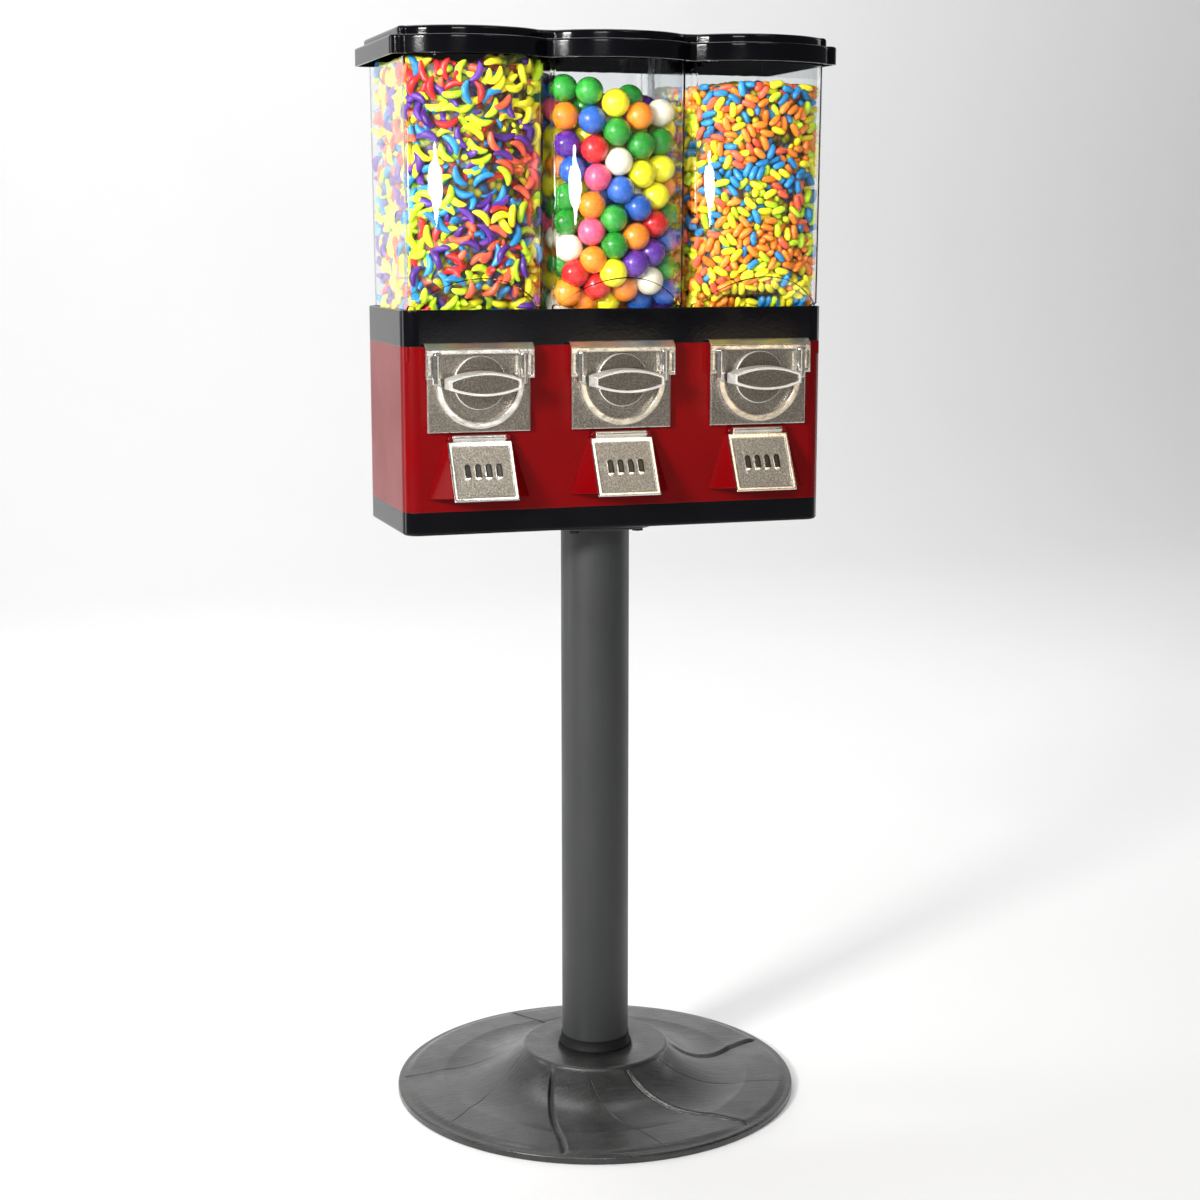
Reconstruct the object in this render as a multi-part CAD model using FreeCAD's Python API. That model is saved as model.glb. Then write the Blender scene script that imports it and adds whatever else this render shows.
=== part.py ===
import FreeCAD, Part
import math
import os

# Three-head bulk candy vendor on a round pedestal. Millimetres, +Z up, the front faces -Y.
# The origin is on the floor, under the middle of the round foot.

V = FreeCAD.Vector
X_AXIS = V(1, 0, 0)
Y_AXIS = V(0, 1, 0)
Z_AXIS = V(0, 0, 1)

# ---- driving dimensions -------------------------------------------------------------------
HEADS = {"left": -1, "centre": 0, "right": 1}
PITCH = 133.0                      # from one head to the next
CLEAR = 0.5                        # running gap between loose parts
PAST = 1.0                         # how far a cutting tool runs past a face

# pedestal
FOOT_R = 195.0
FOOT_RIM = 7.0                     # height of the outer rim
PLATEAU_R = 69.0
PLATEAU_Z = 42.0
SEAT_Z = PLATEAU_Z - 3.0           # the tube stands in a shallow seat
POLE_R = 32.5
POLE_WALL = 1.6
FLANGE_T = 5.0
FLANGE_R = 58.0
FLANGE_PCD = 90.0
CLAMP_SIDE = 13.0                  # corner bolts stand this far in from the sides

# head casing, from the bottom up
HEAD_Z = 565.0
WIDTH = 400.0
DEPTH = 150.0
WALL = 3.0
FRONT = -DEPTH / 2
REAR = DEPTH / 2
CORNER_FRONT = 14.0
CORNER_REAR = 8.0
SHELL_Z = HEAD_Z + 21.0            # top of the bottom pan
TRAY_Z = HEAD_Z + 168.0            # bottom of the upper tray
TRAY_TOP = HEAD_Z + 200.0
DECK_Z = TRAY_TOP - 10.0           # canisters stand here
DECK_T = 3.0

# canisters and lid
CAN_TOP = HEAD_Z + 431.2
CAN_WALL = 2.2
CAN_HALF_LOW = 61.5
CAN_HALF_TOP = 63.5
BULGE = 25.0                       # how far the curved front stands out of its corners
CAN_FRONT = FRONT + 2.0            # plane of the canister's front corners
CAN_REAR = REAR - 3.5
CAN_LEG = 6.5                      # corner facets at the canister's front foot
WEDGE_REACH = 60.0
FILL_TOP = {"left": 412.0, "centre": 398.0, "right": 404.0}   # candy level above HEAD_Z
LID_WALL = 2.5
LID_Z = HEAD_Z + 418.0
LIP_TOP = CAN_TOP + 0.3 + LID_WALL
LID_TOP = HEAD_Z + 442.0
LID_HANG = 8.0                     # the lid's lip stands out this far
LOCK_Y = 8.0
STRAP_Y0 = 18.4
STRAP_Y1 = 31.0
STRAP_SCREWS_Y = (13.0, 36.5)
CAM_Z = CAN_TOP + 3.0
CAM_T = 1.6
CAM_LONG = 17.0

# coin mechanism
AXIS_Z = HEAD_Z + 136.0            # handle shaft
PLATE_HALF = 49.5
PLATE_LOW = HEAD_Z + 92.0
PLATE_TOP = HEAD_Z + 171.0
PLATE_T = 5.0
PLATE_FACE = FRONT - PLATE_T
DIAL_R = 24.0
DISC_R = 33.4
SHAFT_R = 5.0
SHAFT_END = -46.0
HOUSING_REAR = -55.0
PROUD = 6.0                        # the upper block stands out of the plate this far
POCKET_FOOT = AXIS_Z + 4.0         # bottom of the upper block
COLUMN_X = 39.6
GRIP_HALF = 33.5
GRIP_BULGE = 10.4
GRIP_TIP = 4.2
GRIP_FRONT = PLATE_FACE - 25.0
GRIP_BACK = PLATE_FACE - 7.2
DIAL_FRONT = PLATE_FACE - 3.4
RATCHET_R = 15.0
RATCHET_TEETH = 12
RATCHET_Y0 = FRONT - 0.25
RATCHET_Y1 = FRONT + 5.0
RATCHET_DEEP = 2.4
PAWL_X = 26.0
PAWL_Z = AXIS_Z + 10.0

# product wheel and its drive
WHEEL_Y = 4.0
WHEEL_R = 55.5
WHEEL_Z = HEAD_Z + 157.5            # underside of the wheel
WHEEL_T = {"left": 16.0, "centre": 26.0, "right": 16.0}
POCKETS = 6
POCKET_R = 34.0                    # radius of the ring of pockets
POCKET_HOLE = 13.5
CROWN_TEETH = 24
PINION_TEETH = 8
CROWN_R = 53.0
CROWN_HALF = 2.5                   # half the face width of the teeth
PINION_PITCH = CROWN_R * PINION_TEETH / CROWN_TEETH
TOOTH_OUT = 3.0                    # addendum
POST_R = 4.0
WELL_R = 56.5
WELL_WALL = 2.0
WELL_LOW = HEAD_Z + 147.0
FLOOR_R = 49.5

# delivery chute and its flap
HINGE_Y = FRONT - 3.2
HINGE_Z = HEAD_Z + 87.0
FLAP_TILT = 27.0
FLAP_HALF = 29.5
FLAP_LONG = 60.0
FLAP_T = 2.4
FLAP_BACK = 2.0                    # the flap's rear face lies this far behind its pin
MOUTH_HALF = 24.0
PIN_R = 1.2
# outlines of the chute and of the way out, as (y, height above the pan's bottom)
CHUTE_INNER = [(-43.5, 147.5), (-15.0, 147.5), (-15.0, 75.0), (-72.5, 52.6), (-72.5, 80.6), (-43.5, 87.0)]
CHUTE_OUTER = [(-45.3, 146.5), (-13.0, 146.5), (-13.0, 73.2), (-71.5, 50.4), (-71.5, 82.6), (-45.3, 88.6)]
MOUTH = [(-68.0, 54.6), (-112.0, 33.0), (-112.0, 79.6), (-68.0, 79.6)]

# rear door
DOOR_HALF = 164.0
DOOR_LOW = HEAD_Z + 26.0
DOOR_TOP = HEAD_Z + 156.0
DOOR_T = 2.5
DOOR_HINGE_X = -DOOR_HALF - 2.0
DOOR_HINGE_Y = REAR + 4.5
KNUCKLE_R = 3.5

HINGE_LENGTH = 29.6                # one hinge: three knuckles
KNUCKLE = 9.6                      # length of one knuckle
DOOR_LOCK_X = DOOR_HALF - 22.0
DOOR_LOCK_Z = (DOOR_LOW + DOOR_TOP) / 2


# ---- small builders -----------------------------------------------------------------------
def box(x0, x1, y0, y1, z0, z1):
    return Part.makeBox(x1 - x0, y1 - y0, z1 - z0, V(x0, y0, z0))


def cylinder(radius, start, length, direction=Z_AXIS):
    return Part.makeCylinder(radius, length, start, direction)


def tube(outer, inner, start, length, direction=Z_AXIS):
    return cylinder(outer, start, length, direction).cut(
        cylinder(inner, start - direction * PAST, length + 2 * PAST, direction))


def polygon(points):
    return Part.makePolygon(points + [points[0]])


def prism(points, direction):
    return Part.Face(polygon(points)).extrude(direction)


def yz_prism(outline, half):
    """Solid of an outline of (y, z) points, from -half to half along X."""
    return prism([V(-half, y, z) for y, z in outline], V(2 * half, 0, 0))


def fuse(shapes):
    joined = shapes[0]
    for shape in shapes[1:]:
        joined = joined.fuse(shape)
    return joined.removeSplitter()


def cut(shape, tools):
    for tool in tools:
        shape = shape.cut(tool)
    return shape


def at(shape, x=0.0, y=0.0, z=0.0):
    moved = shape.copy()
    moved.translate(V(x, y, z))
    return moved


def turned(shape, centre, axis, degrees):
    moved = shape.copy()
    moved.rotate(centre, axis, degrees)
    return moved


def around(shape, count, centre=V(0, 0, 0), axis=Z_AXIS):
    return [turned(shape, centre, axis, 360.0 * i / count) for i in range(count)]


def soften(shape, radius, wanted):
    """Fillets the edges that wanted(edge) picks."""
    edges = [edge for edge in shape.Edges if wanted(edge)]
    return shape.makeFillet(radius, edges)


def upright(edge):
    ends = edge.Vertexes
    if len(ends) < 2:
        return False
    run = ends[1].Point - ends[0].Point
    return run.Length > 1.0 and abs(run.z) > 0.999 * run.Length


def level_at(z):
    """Picks the edges that lie wholly at one height."""
    def wanted(edge):
        low = edge.BoundBox.ZMin
        high = edge.BoundBox.ZMax
        return abs(low - z) < 0.01 and abs(high - z) < 0.01
    return wanted


def hexagon(across, start, height):
    """Upright hexagonal block, across its flats."""
    radius = across / math.sqrt(3.0)
    turns = [math.radians(60 * i) for i in range(6)]
    return prism([start + V(radius * math.cos(a), radius * math.sin(a), 0) for a in turns], V(0, 0, height))


def head_x(side):
    return HEADS[side] * PITCH


def on_each_head(make):
    return {side: make(side) for side in HEADS}


def casing(inset, z0, z1):
    """Block with the casing's rounded plan, taken in by inset."""
    block = box(-WIDTH / 2 + inset, WIDTH / 2 - inset, FRONT + inset, REAR - inset, z0, z1)
    block = soften(block, CORNER_FRONT - inset, lambda e: upright(e) and e.BoundBox.YMax < 0)
    return soften(block, max(CORNER_REAR - inset, 1.0), lambda e: upright(e) and e.BoundBox.YMin > 0)


def casing_wall(inset, thick, z0, z1):
    return casing(inset, z0, z1).cut(casing(inset + thick, z0 - 1, z1 + 1))


# ---- pedestal -----------------------------------------------------------------------------
def base_casting():
    """Round cast-iron foot: flat rim, flared flank and a plateau, hollow underneath."""
    hole = 6.6
    boss_r = 24.0
    boss_z = 24.0
    top = [
        Part.LineSegment(V(FOOT_R, 0, 0), V(FOOT_R, 0, FOOT_RIM - 2)),
        Part.Arc(V(FOOT_R, 0, FOOT_RIM - 2), V(FOOT_R - 0.6, 0, FOOT_RIM - 0.6), V(FOOT_R - 2, 0, FOOT_RIM)),
        Part.LineSegment(V(FOOT_R - 2, 0, FOOT_RIM), V(150, 0, 9.5)),
        Part.Arc(V(150, 0, 9.5), V(99, 0, 18.0), V(PLATEAU_R + 3, 0, PLATEAU_Z - 2.6)),
        Part.Arc(V(PLATEAU_R + 3, 0, PLATEAU_Z - 2.6), V(PLATEAU_R + 1.6, 0, PLATEAU_Z - 0.6),
                 V(PLATEAU_R - 1, 0, PLATEAU_Z)),
        Part.LineSegment(V(PLATEAU_R - 1, 0, PLATEAU_Z), V(POLE_R + 0.4, 0, PLATEAU_Z)),
        Part.LineSegment(V(POLE_R + 0.4, 0, PLATEAU_Z), V(POLE_R + 0.4, 0, SEAT_Z)),
        Part.LineSegment(V(POLE_R + 0.4, 0, SEAT_Z), V(hole, 0, SEAT_Z)),
        Part.LineSegment(V(hole, 0, SEAT_Z), V(hole, 0, boss_z)),
        Part.LineSegment(V(hole, 0, boss_z), V(boss_r, 0, boss_z)),
        Part.LineSegment(V(boss_r, 0, boss_z), V(boss_r, 0, 32)),
        Part.LineSegment(V(boss_r, 0, 32), V(62, 0, 32)),
        Part.Arc(V(62, 0, 32), V(92, 0, 10.5), V(150, 0, 3)),
        Part.LineSegment(V(150, 0, 3), V(FOOT_R - 14, 0, 2)),
        Part.LineSegment(V(FOOT_R - 14, 0, 2), V(FOOT_R - 12, 0, 0)),
        Part.LineSegment(V(FOOT_R - 12, 0, 0), V(FOOT_R, 0, 0)),
    ]
    outline = Part.Wire([edge.toShape() for edge in top])
    return Part.Face(outline).revolve(V(0, 0, 0), Z_AXIS, 360)


def base_bolt_set():
    """Bolt and washer that pull the tube down onto the foot from below."""
    washer_z = 24.0 - 2.5
    head_z = washer_z - 7.5
    bolt = fuse([hexagon(19.0, V(0, 0, head_z), 7.5), cylinder(6.0, V(0, 0, washer_z - 0.5), 39.0)])
    washer = tube(14.0, 6.4, V(0, 0, washer_z + 0.02), 2.4)
    return Part.makeCompound([bolt, washer])


def pole_tube():
    return tube(POLE_R, POLE_R - POLE_WALL, V(0, 0, SEAT_Z), HEAD_Z - FLANGE_T - SEAT_Z)


def pole_plug():
    """Threaded steel disc fixed inside the tube's foot."""
    return tube(POLE_R - POLE_WALL - 0.05, 6.05, V(0, 0, SEAT_Z + 4), 14.0)


def pole_collar():
    """Flared boot round the tube where it meets the plateau."""
    inner = POLE_R + 0.1
    height = 11.0
    outline = Part.Wire([
        Part.LineSegment(V(inner, 0, PLATEAU_Z + 0.05), V(POLE_R + 3.0, 0, PLATEAU_Z + 0.05)).toShape(),
        Part.LineSegment(V(POLE_R + 3.0, 0, PLATEAU_Z + 0.05), V(POLE_R + 3.0, 0, PLATEAU_Z + 2)).toShape(),
        Part.Arc(V(POLE_R + 3.0, 0, PLATEAU_Z + 2), V(POLE_R + 1.5, 0, PLATEAU_Z + 5),
                 V(POLE_R + 0.7, 0, PLATEAU_Z + height)).toShape(),
        Part.LineSegment(V(POLE_R + 0.7, 0, PLATEAU_Z + height), V(inner, 0, PLATEAU_Z + height)).toShape(),
        Part.LineSegment(V(inner, 0, PLATEAU_Z + height), V(inner, 0, PLATEAU_Z + 0.05)).toShape(),
    ])
    return Part.Face(outline).revolve(V(0, 0, 0), Z_AXIS, 360)


def flange_holes(radius, z0, z1):
    hole = cylinder(radius, V(FLANGE_PCD / 2, 0, z0), z1 - z0)
    return [turned(h, V(0, 0, 0), Z_AXIS, 45) for h in around(hole, 4)]


def top_flange():
    """Plate welded to the top of the tube; the head bolts down onto it."""
    plate = cylinder(FLANGE_R, V(0, 0, HEAD_Z - FLANGE_T), FLANGE_T)
    plate = soften(plate, 1.2, level_at(HEAD_Z - FLANGE_T))
    return cut(plate, flange_holes(3.5, HEAD_Z - FLANGE_T - 1, HEAD_Z + 1))


def flange_fasteners():
    """Four bolts up through the flange and the pan, with their nuts."""
    pan_floor = HEAD_Z + WALL
    bolt = fuse([
        hexagon(10.0, V(FLANGE_PCD / 2, 0, HEAD_Z - FLANGE_T - 4.0), 4.0),
        cylinder(3.0, V(FLANGE_PCD / 2, 0, HEAD_Z - FLANGE_T - 0.5), 14.0),
    ])
    nut = hexagon(10.0, V(FLANGE_PCD / 2, 0, pan_floor), 5.0).cut(
        cylinder(3.05, V(FLANGE_PCD / 2, 0, pan_floor - 1), 8.0))
    pieces = around(bolt, 4) + around(nut, 4)
    return Part.makeCompound([turned(p, V(0, 0, 0), Z_AXIS, 45) for p in pieces])


# ---- casing of the head -------------------------------------------------------------------
def clamp_places():
    across = WIDTH / 2 - CLAMP_SIDE
    along = DEPTH / 2 - CLAMP_SIDE
    return [V(x, y, 0) for x in (-across, across) for y in (-along, along)]


def base_pan():
    """Black bottom pan: carries the head on the flange and catches the coin tray."""
    floor = casing(0, HEAD_Z, HEAD_Z + WALL)
    pan = fuse([floor, casing_wall(0, WALL, HEAD_Z, SHELL_Z)])
    pan = soften(pan, 2.4, level_at(HEAD_Z))
    lip = casing_wall(WALL + 0.25, 2.0, SHELL_Z - 6, SHELL_Z + 3)
    lip = lip.cut(box(-DOOR_HALF - 6, DOOR_HALF + 6, 0, REAR + 5, SHELL_Z - 8, SHELL_Z + 6))
    web = casing_wall(WALL - 0.5, 2.75, SHELL_Z - 6, SHELL_Z - 4)
    web = web.cut(box(-DOOR_HALF - 6, DOOR_HALF + 6, 0, REAR + 5, SHELL_Z - 8, SHELL_Z + 6))
    bosses = [cylinder(6.0, p + V(0, 0, HEAD_Z), SHELL_Z - HEAD_Z) for p in clamp_places()]
    pan = fuse([pan, lip, web] + bosses)
    holes = [cylinder(2.7, p + V(0, 0, HEAD_Z - 1), 40.0) for p in clamp_places()]
    recesses = [cylinder(5.2, p + V(0, 0, HEAD_Z - 1), 5.0) for p in clamp_places()]
    centre_hole = cylinder(10.0, V(0, 0, HEAD_Z - 1), WALL + 2)
    return cut(pan, holes + recesses + flange_holes(3.5, HEAD_Z - 1, HEAD_Z + WALL + 1) + [centre_hole])


def hood():
    """Sloping hood that stands on the front panel; the flap lies on its face."""
    back = FRONT
    slope = math.tan(math.radians(FLAP_TILT))
    top_z = HINGE_Z - 4.5
    low_z = HINGE_Z - 51.0
    top_y = HINGE_Y + FLAP_BACK + CLEAR - slope * 4.5
    low_y = top_y - slope * (top_z - low_z)
    on_panel = polygon([V(-31, back, top_z + 2), V(31, back, top_z + 2),
                        V(47, back, low_z - 3), V(-47, back, low_z - 3)])
    on_face = polygon([V(-30, top_y, top_z), V(30, top_y, top_z),
                       V(30, low_y, low_z), V(-30, low_y, low_z)])
    return Part.makeLoft([on_panel, on_face], True, True)


def above_pan(outline):
    """Outline given in (y, height above the pan), moved up to the head."""
    return [(y, z + HEAD_Z) for y, z in outline]


def mouth_space():
    """The way out of the chute, through the panel and the hood."""
    return yz_prism(above_pan(MOUTH), MOUTH_HALF)


def flap_ears():
    """Two moulded ears that carry the flap's pin."""
    ears = []
    for x0 in (-28.0, 25.0):
        lug = fuse([
            cylinder(3.0, V(x0, HINGE_Y, HINGE_Z), 3.0, X_AXIS),
            box(x0, x0 + 3.0, HINGE_Y, FRONT, HINGE_Z - 3.0, HINGE_Z + 3.0),
        ])
        ears.append(lug.cut(cylinder(PIN_R + 0.03, V(x0 - 1, HINGE_Y, HINGE_Z), 5.0, X_AXIS)))
    return ears


def hoods():
    """The three hoods with their ears, pierced by the way out."""
    return Part.makeCompound([at(fuse([hood()] + flap_ears()).cut(mouth_space()), head_x(s)) for s in HEADS])


def hinge_feet():
    """Heights at which the two hinges start."""
    return DOOR_LOW + 14.0, DOOR_TOP - 14.0 - 30.0


def fixed_knuckle_feet():
    return [low + up for low in hinge_feet() for up in (0.0, 20.0)]


def moving_knuckle_feet():
    return [low + 10.0 for low in hinge_feet()]


def cabinet_shell():
    """Red front and sides, with the notches for the mechanisms, the ways out and the door frame."""
    shell = casing_wall(0, WALL, SHELL_Z, TRAY_Z)
    shell = shell.cut(box(-DOOR_HALF - 1, DOOR_HALF + 1, REAR - WALL - 1, REAR + 1, DOOR_LOW - 1, DOOR_TOP + 1))
    added = []
    removed = []
    for side in HEADS:
        x = head_x(side)
        removed.append(at(mouth_space(), x))
        removed.append(box(x - 43, x + 43, FRONT - 0.001, FRONT + WALL + 1, PLATE_LOW + 3, TRAY_Z + 1))
    for p in clamp_places():
        added.append(tube(6.0, 2.7, p + V(0, 0, TRAY_Z - 12), 12.0))
        corner = box(min(p.x, p.x * 1.05), max(p.x, p.x * 1.05), min(p.y, p.y * 1.17), max(p.y, p.y * 1.17),
                     TRAY_Z - 12, TRAY_Z)
        added.append(corner.cut(cylinder(5.0, p + V(0, 0, TRAY_Z - 13), 14.0)))
    added += [fixed_knuckle(low) for low in fixed_knuckle_feet()]
    shell = cut(fuse([shell] + added), removed)
    return shell.removeSplitter()


def fixed_knuckle(low):
    """Hinge knuckle with its leaf on the door frame."""
    x = DOOR_HINGE_X
    y = DOOR_HINGE_Y
    barrel = cylinder(KNUCKLE_R, V(x, y, low), KNUCKLE)
    leaf = box(x - 9.0, x, REAR - 0.5, y - 1.2, low, low + KNUCKLE)
    return fuse([barrel, leaf]).cut(cylinder(1.55, V(x, y, low - PAST), KNUCKLE + 2 * PAST))


def wheel_well(side):
    """Round seat of one product wheel, hung under the tray's deck."""
    x = head_x(side)
    centre = V(x, WHEEL_Y, 0)
    low = WELL_LOW
    floor_top = WHEEL_Z - CLEAR
    wheel_top = WHEEL_Z + WHEEL_T[side]
    wall = tube(WELL_R + WELL_WALL, WELL_R, centre + V(0, 0, low), DECK_Z - DECK_T - low)
    groove = tube(WELL_R + 0.5, FLOOR_R - 1.5, centre + V(0, 0, low), 2.0)
    skirt = tube(FLOOR_R, FLOOR_R - 1.5, centre + V(0, 0, low), floor_top - low)
    floor = cylinder(FLOOR_R, centre + V(0, 0, floor_top - 3.5), 3.5)
    post = cylinder(POST_R, centre + V(0, 0, floor_top - 1), wheel_top + 5.0 - floor_top + 1)
    well = fuse([wall, groove, skirt, floor, post])
    drop = cylinder(POCKET_HOLE + 0.2, V(x, WHEEL_Y - POCKET_R, low - 1), 14.0)
    window = box(x - 19.5, x + 19.5, WHEEL_Y - WELL_R - 4, WHEEL_Y - FLOOR_R - 0.6, low - 1, WHEEL_Z + 1.0)
    return cut(well, [drop, window])


def wheel_wells():
    return Part.makeCompound([wheel_well(s) for s in HEADS])


def canister_tray():
    """Black upper tray: outer band, and a deck with a round hole over each product wheel."""
    band = casing_wall(0, WALL, TRAY_Z, TRAY_TOP)
    band = soften(band, 1.2, level_at(TRAY_TOP))
    deck = casing(WALL - 0.5, DECK_Z - DECK_T, DECK_Z)
    deck = cut(deck, [cylinder(WELL_R, V(head_x(s), WHEEL_Y, DECK_Z - 10), 20.0) for s in HEADS])
    lip = casing_wall(WALL + 0.25, 2.0, TRAY_Z - 3, TRAY_Z + 6)
    lip = cut(lip, [box(-WIDTH, WIDTH, FRONT - 5, FRONT + 22, TRAY_Z - 9, TRAY_Z + 9)])
    web = casing_wall(WALL - 0.5, 2.75, TRAY_Z + 3, TRAY_Z + 6)
    web = cut(web, [box(-WIDTH, WIDTH, FRONT - 5, FRONT + 22, TRAY_Z - 9, TRAY_Z + 9)])
    bosses = [cylinder(6.0, p + V(0, 0, TRAY_Z), DECK_Z - TRAY_Z) for p in clamp_places()]
    lip = cut(lip, [box(p.x - 14, p.x + 14, p.y - 14, p.y + 14, TRAY_Z - 9, TRAY_Z + 9) for p in clamp_places()])
    tray = fuse([band, deck, lip, web] + bosses)
    holes = [cylinder(2.55, p + V(0, 0, TRAY_Z - 1), 17.0) for p in clamp_places()]
    strap_holes = [cylinder(1.7, V(s * PITCH / 2, y, DECK_Z - 10), 20.0) for s in (-1, 1) for y in STRAP_SCREWS_Y]
    return cut(tray, holes + strap_holes)


def clamp_fasteners():
    """Four long corner bolts that clamp pan, shell and tray together."""
    low = HEAD_Z + 0.4
    bolt = fuse([cylinder(4.8, V(0, 0, low), 3.6), cylinder(2.5, V(0, 0, low + 3), TRAY_Z + 14 - low - 3)])
    slot = box(-0.6, 0.6, -4.8, 4.8, low - 1, low + 1.5)
    bolt = bolt.cut(slot)
    return Part.makeCompound([at(bolt, p.x, p.y) for p in clamp_places()])


def coin_tray():
    """Loose open tray on the pan's floor that catches the coins."""
    outer = box(-168, 168, FRONT + 9, REAR - 13, HEAD_Z + 9.0, HEAD_Z + 27.0)
    outer = soften(outer, 5.0, upright)
    inner = box(-166, 166, FRONT + 11, REAR - 15, HEAD_Z + 11.0, HEAD_Z + 30.0)
    inner = soften(inner, 4.0, upright)
    feet = [cylinder(6.0, V(x, y, HEAD_Z + WALL + 0.05), 7.0) for x in (-150.0, 150.0) for y in (-50.0, 45.0)]
    return fuse([outer.cut(inner)] + feet)


# ---- canisters, candy and lid -------------------------------------------------------------
def canister_plan(half, front, rear, sagitta, z, corner=7.0):
    """Plan of a canister: flat rear and sides, convex front."""
    r = corner
    k = r * (1 - math.sqrt(0.5))
    nose = V(0, front - sagitta, z)
    edges = [
        Part.Arc(V(-half + 3, front, z), nose, V(half - 3, front, z)),
        Part.Arc(V(half - 3, front, z), V(half - 0.8, front + 1.6, z), V(half, front + 5, z)),
        Part.LineSegment(V(half, front + 5, z), V(half, rear - r, z)),
        Part.Arc(V(half, rear - r, z), V(half - k, rear - k, z), V(half - r, rear, z)),
        Part.LineSegment(V(half - r, rear, z), V(-half + r, rear, z)),
        Part.Arc(V(-half + r, rear, z), V(-half + k, rear - k, z), V(-half, rear - r, z)),
        Part.LineSegment(V(-half, rear - r, z), V(-half, front + 5, z)),
        Part.Arc(V(-half, front + 5, z), V(-half + 0.8, front + 1.6, z), V(-half + 3, front, z)),
    ]
    return Part.Wire([edge.toShape() for edge in edges])


def canister_space(inset, z0, z1):
    """Solid of the canister's outline taken in by inset, with its draft and its sloping front foot."""
    def plan(z):
        share = (z - DECK_Z) / (CAN_TOP - DECK_Z)
        half = CAN_HALF_LOW + (CAN_HALF_TOP - CAN_HALF_LOW) * share - inset
        return canister_plan(half, CAN_FRONT + inset, CAN_REAR - inset, BULGE, z)
    body = Part.makeLoft([plan(z0), plan(z1)], True, True)
    foot_y = FRONT + WALL + CLEAR + inset
    foot_z = TRAY_TOP + CLEAR + inset * (math.sqrt(2) - 1)
    wedge = yz_prism([(foot_y, foot_z), (foot_y - WEDGE_REACH, foot_z + WEDGE_REACH),
                      (foot_y - WEDGE_REACH, DECK_Z - 20), (foot_y, DECK_Z - 20)], 90)
    leg = CAN_LEG - inset * 0.6
    side = CAN_HALF_LOW - inset
    corners = []
    for s in (-1, 1):
        facet = [V(s * (side - leg), foot_y, foot_z), V(s * side, foot_y + leg, foot_z),
                 V(s * (side + 30), foot_y - 30, foot_z)]
        corners += [prism(facet, V(0, 0, -40)), prism(facet, V(s * 20, -20, 20))]
    return cut(body, [wedge] + corners)


def canister(side):
    """Clear moulded canister, open at the top and the bottom."""
    wall = canister_space(0, DECK_Z + 0.1, CAN_TOP).cut(canister_space(CAN_WALL, DECK_Z - 5, CAN_TOP + 5))
    return at(wall, head_x(side))


def candy(side):
    """The charge of candy, as one plain solid clear of the wheel and its stirrer."""
    top = HEAD_Z + FILL_TOP[side]
    fill = canister_space(CAN_WALL + CLEAR, DECK_Z + 1.0, top)
    stirrer = cylinder(40.0, V(0, WHEEL_Y, DECK_Z - 5), 30.0)
    return at(fill.cut(stirrer), head_x(side))


def lid_block(grow, z0, z1):
    """The lid's scalloped plan, grown by grow from the canisters' outline."""
    chord = CAN_HALF_TOP - 3
    arc_r = (chord ** 2 + BULGE ** 2) / (2 * BULGE)
    arc_y = CAN_FRONT - BULGE + arc_r
    front = CAN_FRONT - grow
    body = box(-WIDTH / 2 - grow, WIDTH / 2 + grow, front, CAN_REAR + 2 + grow, z0, z1)
    bows = []
    for side in HEADS:
        x = head_x(side)
        x0 = max(x - PITCH / 2, -WIDTH / 2 - grow)
        x1 = min(x + PITCH / 2, WIDTH / 2 + grow)
        bow = cylinder(arc_r + grow, V(x, arc_y, z0), z1 - z0)
        bows.append(bow.common(box(x0, x1, front - BULGE - 5, front + 20, z0, z1)))
    block = fuse([body] + bows)
    block = soften(block, 4.4 + 0.55 * grow, lambda e: upright(e) and abs(e.BoundBox.XMin) > WIDTH / 2 + grow - 1)
    return soften(block, 2.0, lambda e: upright(e) and abs(e.BoundBox.YMin - front) < 0.01
                  and abs(e.BoundBox.XMin) < WIDTH / 2 + grow - 4.4 - 0.55 * grow - 0.1)


def lid():
    """One-piece scalloped lid: lip, step and crown, hollow below."""
    lip = soften(lid_block(LID_HANG, LID_Z, LIP_TOP), 2.2, level_at(LIP_TOP))
    crown = soften(lid_block(0, LIP_TOP - 3, LID_TOP), 3.0, level_at(LID_TOP))
    body = lip.fuse(crown)
    low_space = lid_block(LID_HANG - LID_WALL, LID_Z - 1, LIP_TOP - LID_WALL)
    high_space = lid_block(-LID_WALL, LID_Z - 1, LID_TOP - LID_WALL)
    body = cut(body, [low_space, high_space])
    locks = [cylinder(9.6, V(s * PITCH / 2, LOCK_Y, LID_TOP - 10), 20.0) for s in (-1, 1)]
    return cut(body, locks)


def lid_straps():
    """Two steel straps in the gaps between canisters; each has a notch for a lock's cam."""
    strap = box(-1.5, 1.5, STRAP_Y0, STRAP_Y1, DECK_Z + 0.1, LID_TOP - LID_WALL - CLEAR)
    foot = box(-3.6, 3.6, STRAP_Y0 - 9, STRAP_Y1 + 9, DECK_Z + 0.1, DECK_Z + 2.1)
    notch = box(-3, 3, STRAP_Y0 - 1, STRAP_Y0 + 9.5, CAM_Z - 0.7, CAM_Z + CAM_T + 0.7)
    strap = fuse([strap, foot]).cut(notch)
    pieces = []
    for s in (-1, 1):
        placed = at(strap, s * PITCH / 2)
        for y in STRAP_SCREWS_Y:
            hole = cylinder(1.7, V(s * PITCH / 2, y, DECK_Z - 1), 6.0)
            placed = placed.cut(hole)
            screw = fuse([cylinder(2.9, V(s * PITCH / 2, y, DECK_Z + 2.12), 1.8),
                          cylinder(1.5, V(s * PITCH / 2, y, DECK_Z - 5), 8.0)])
            pieces.append(screw)
        pieces.append(placed)
    return Part.makeCompound(pieces)


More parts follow.
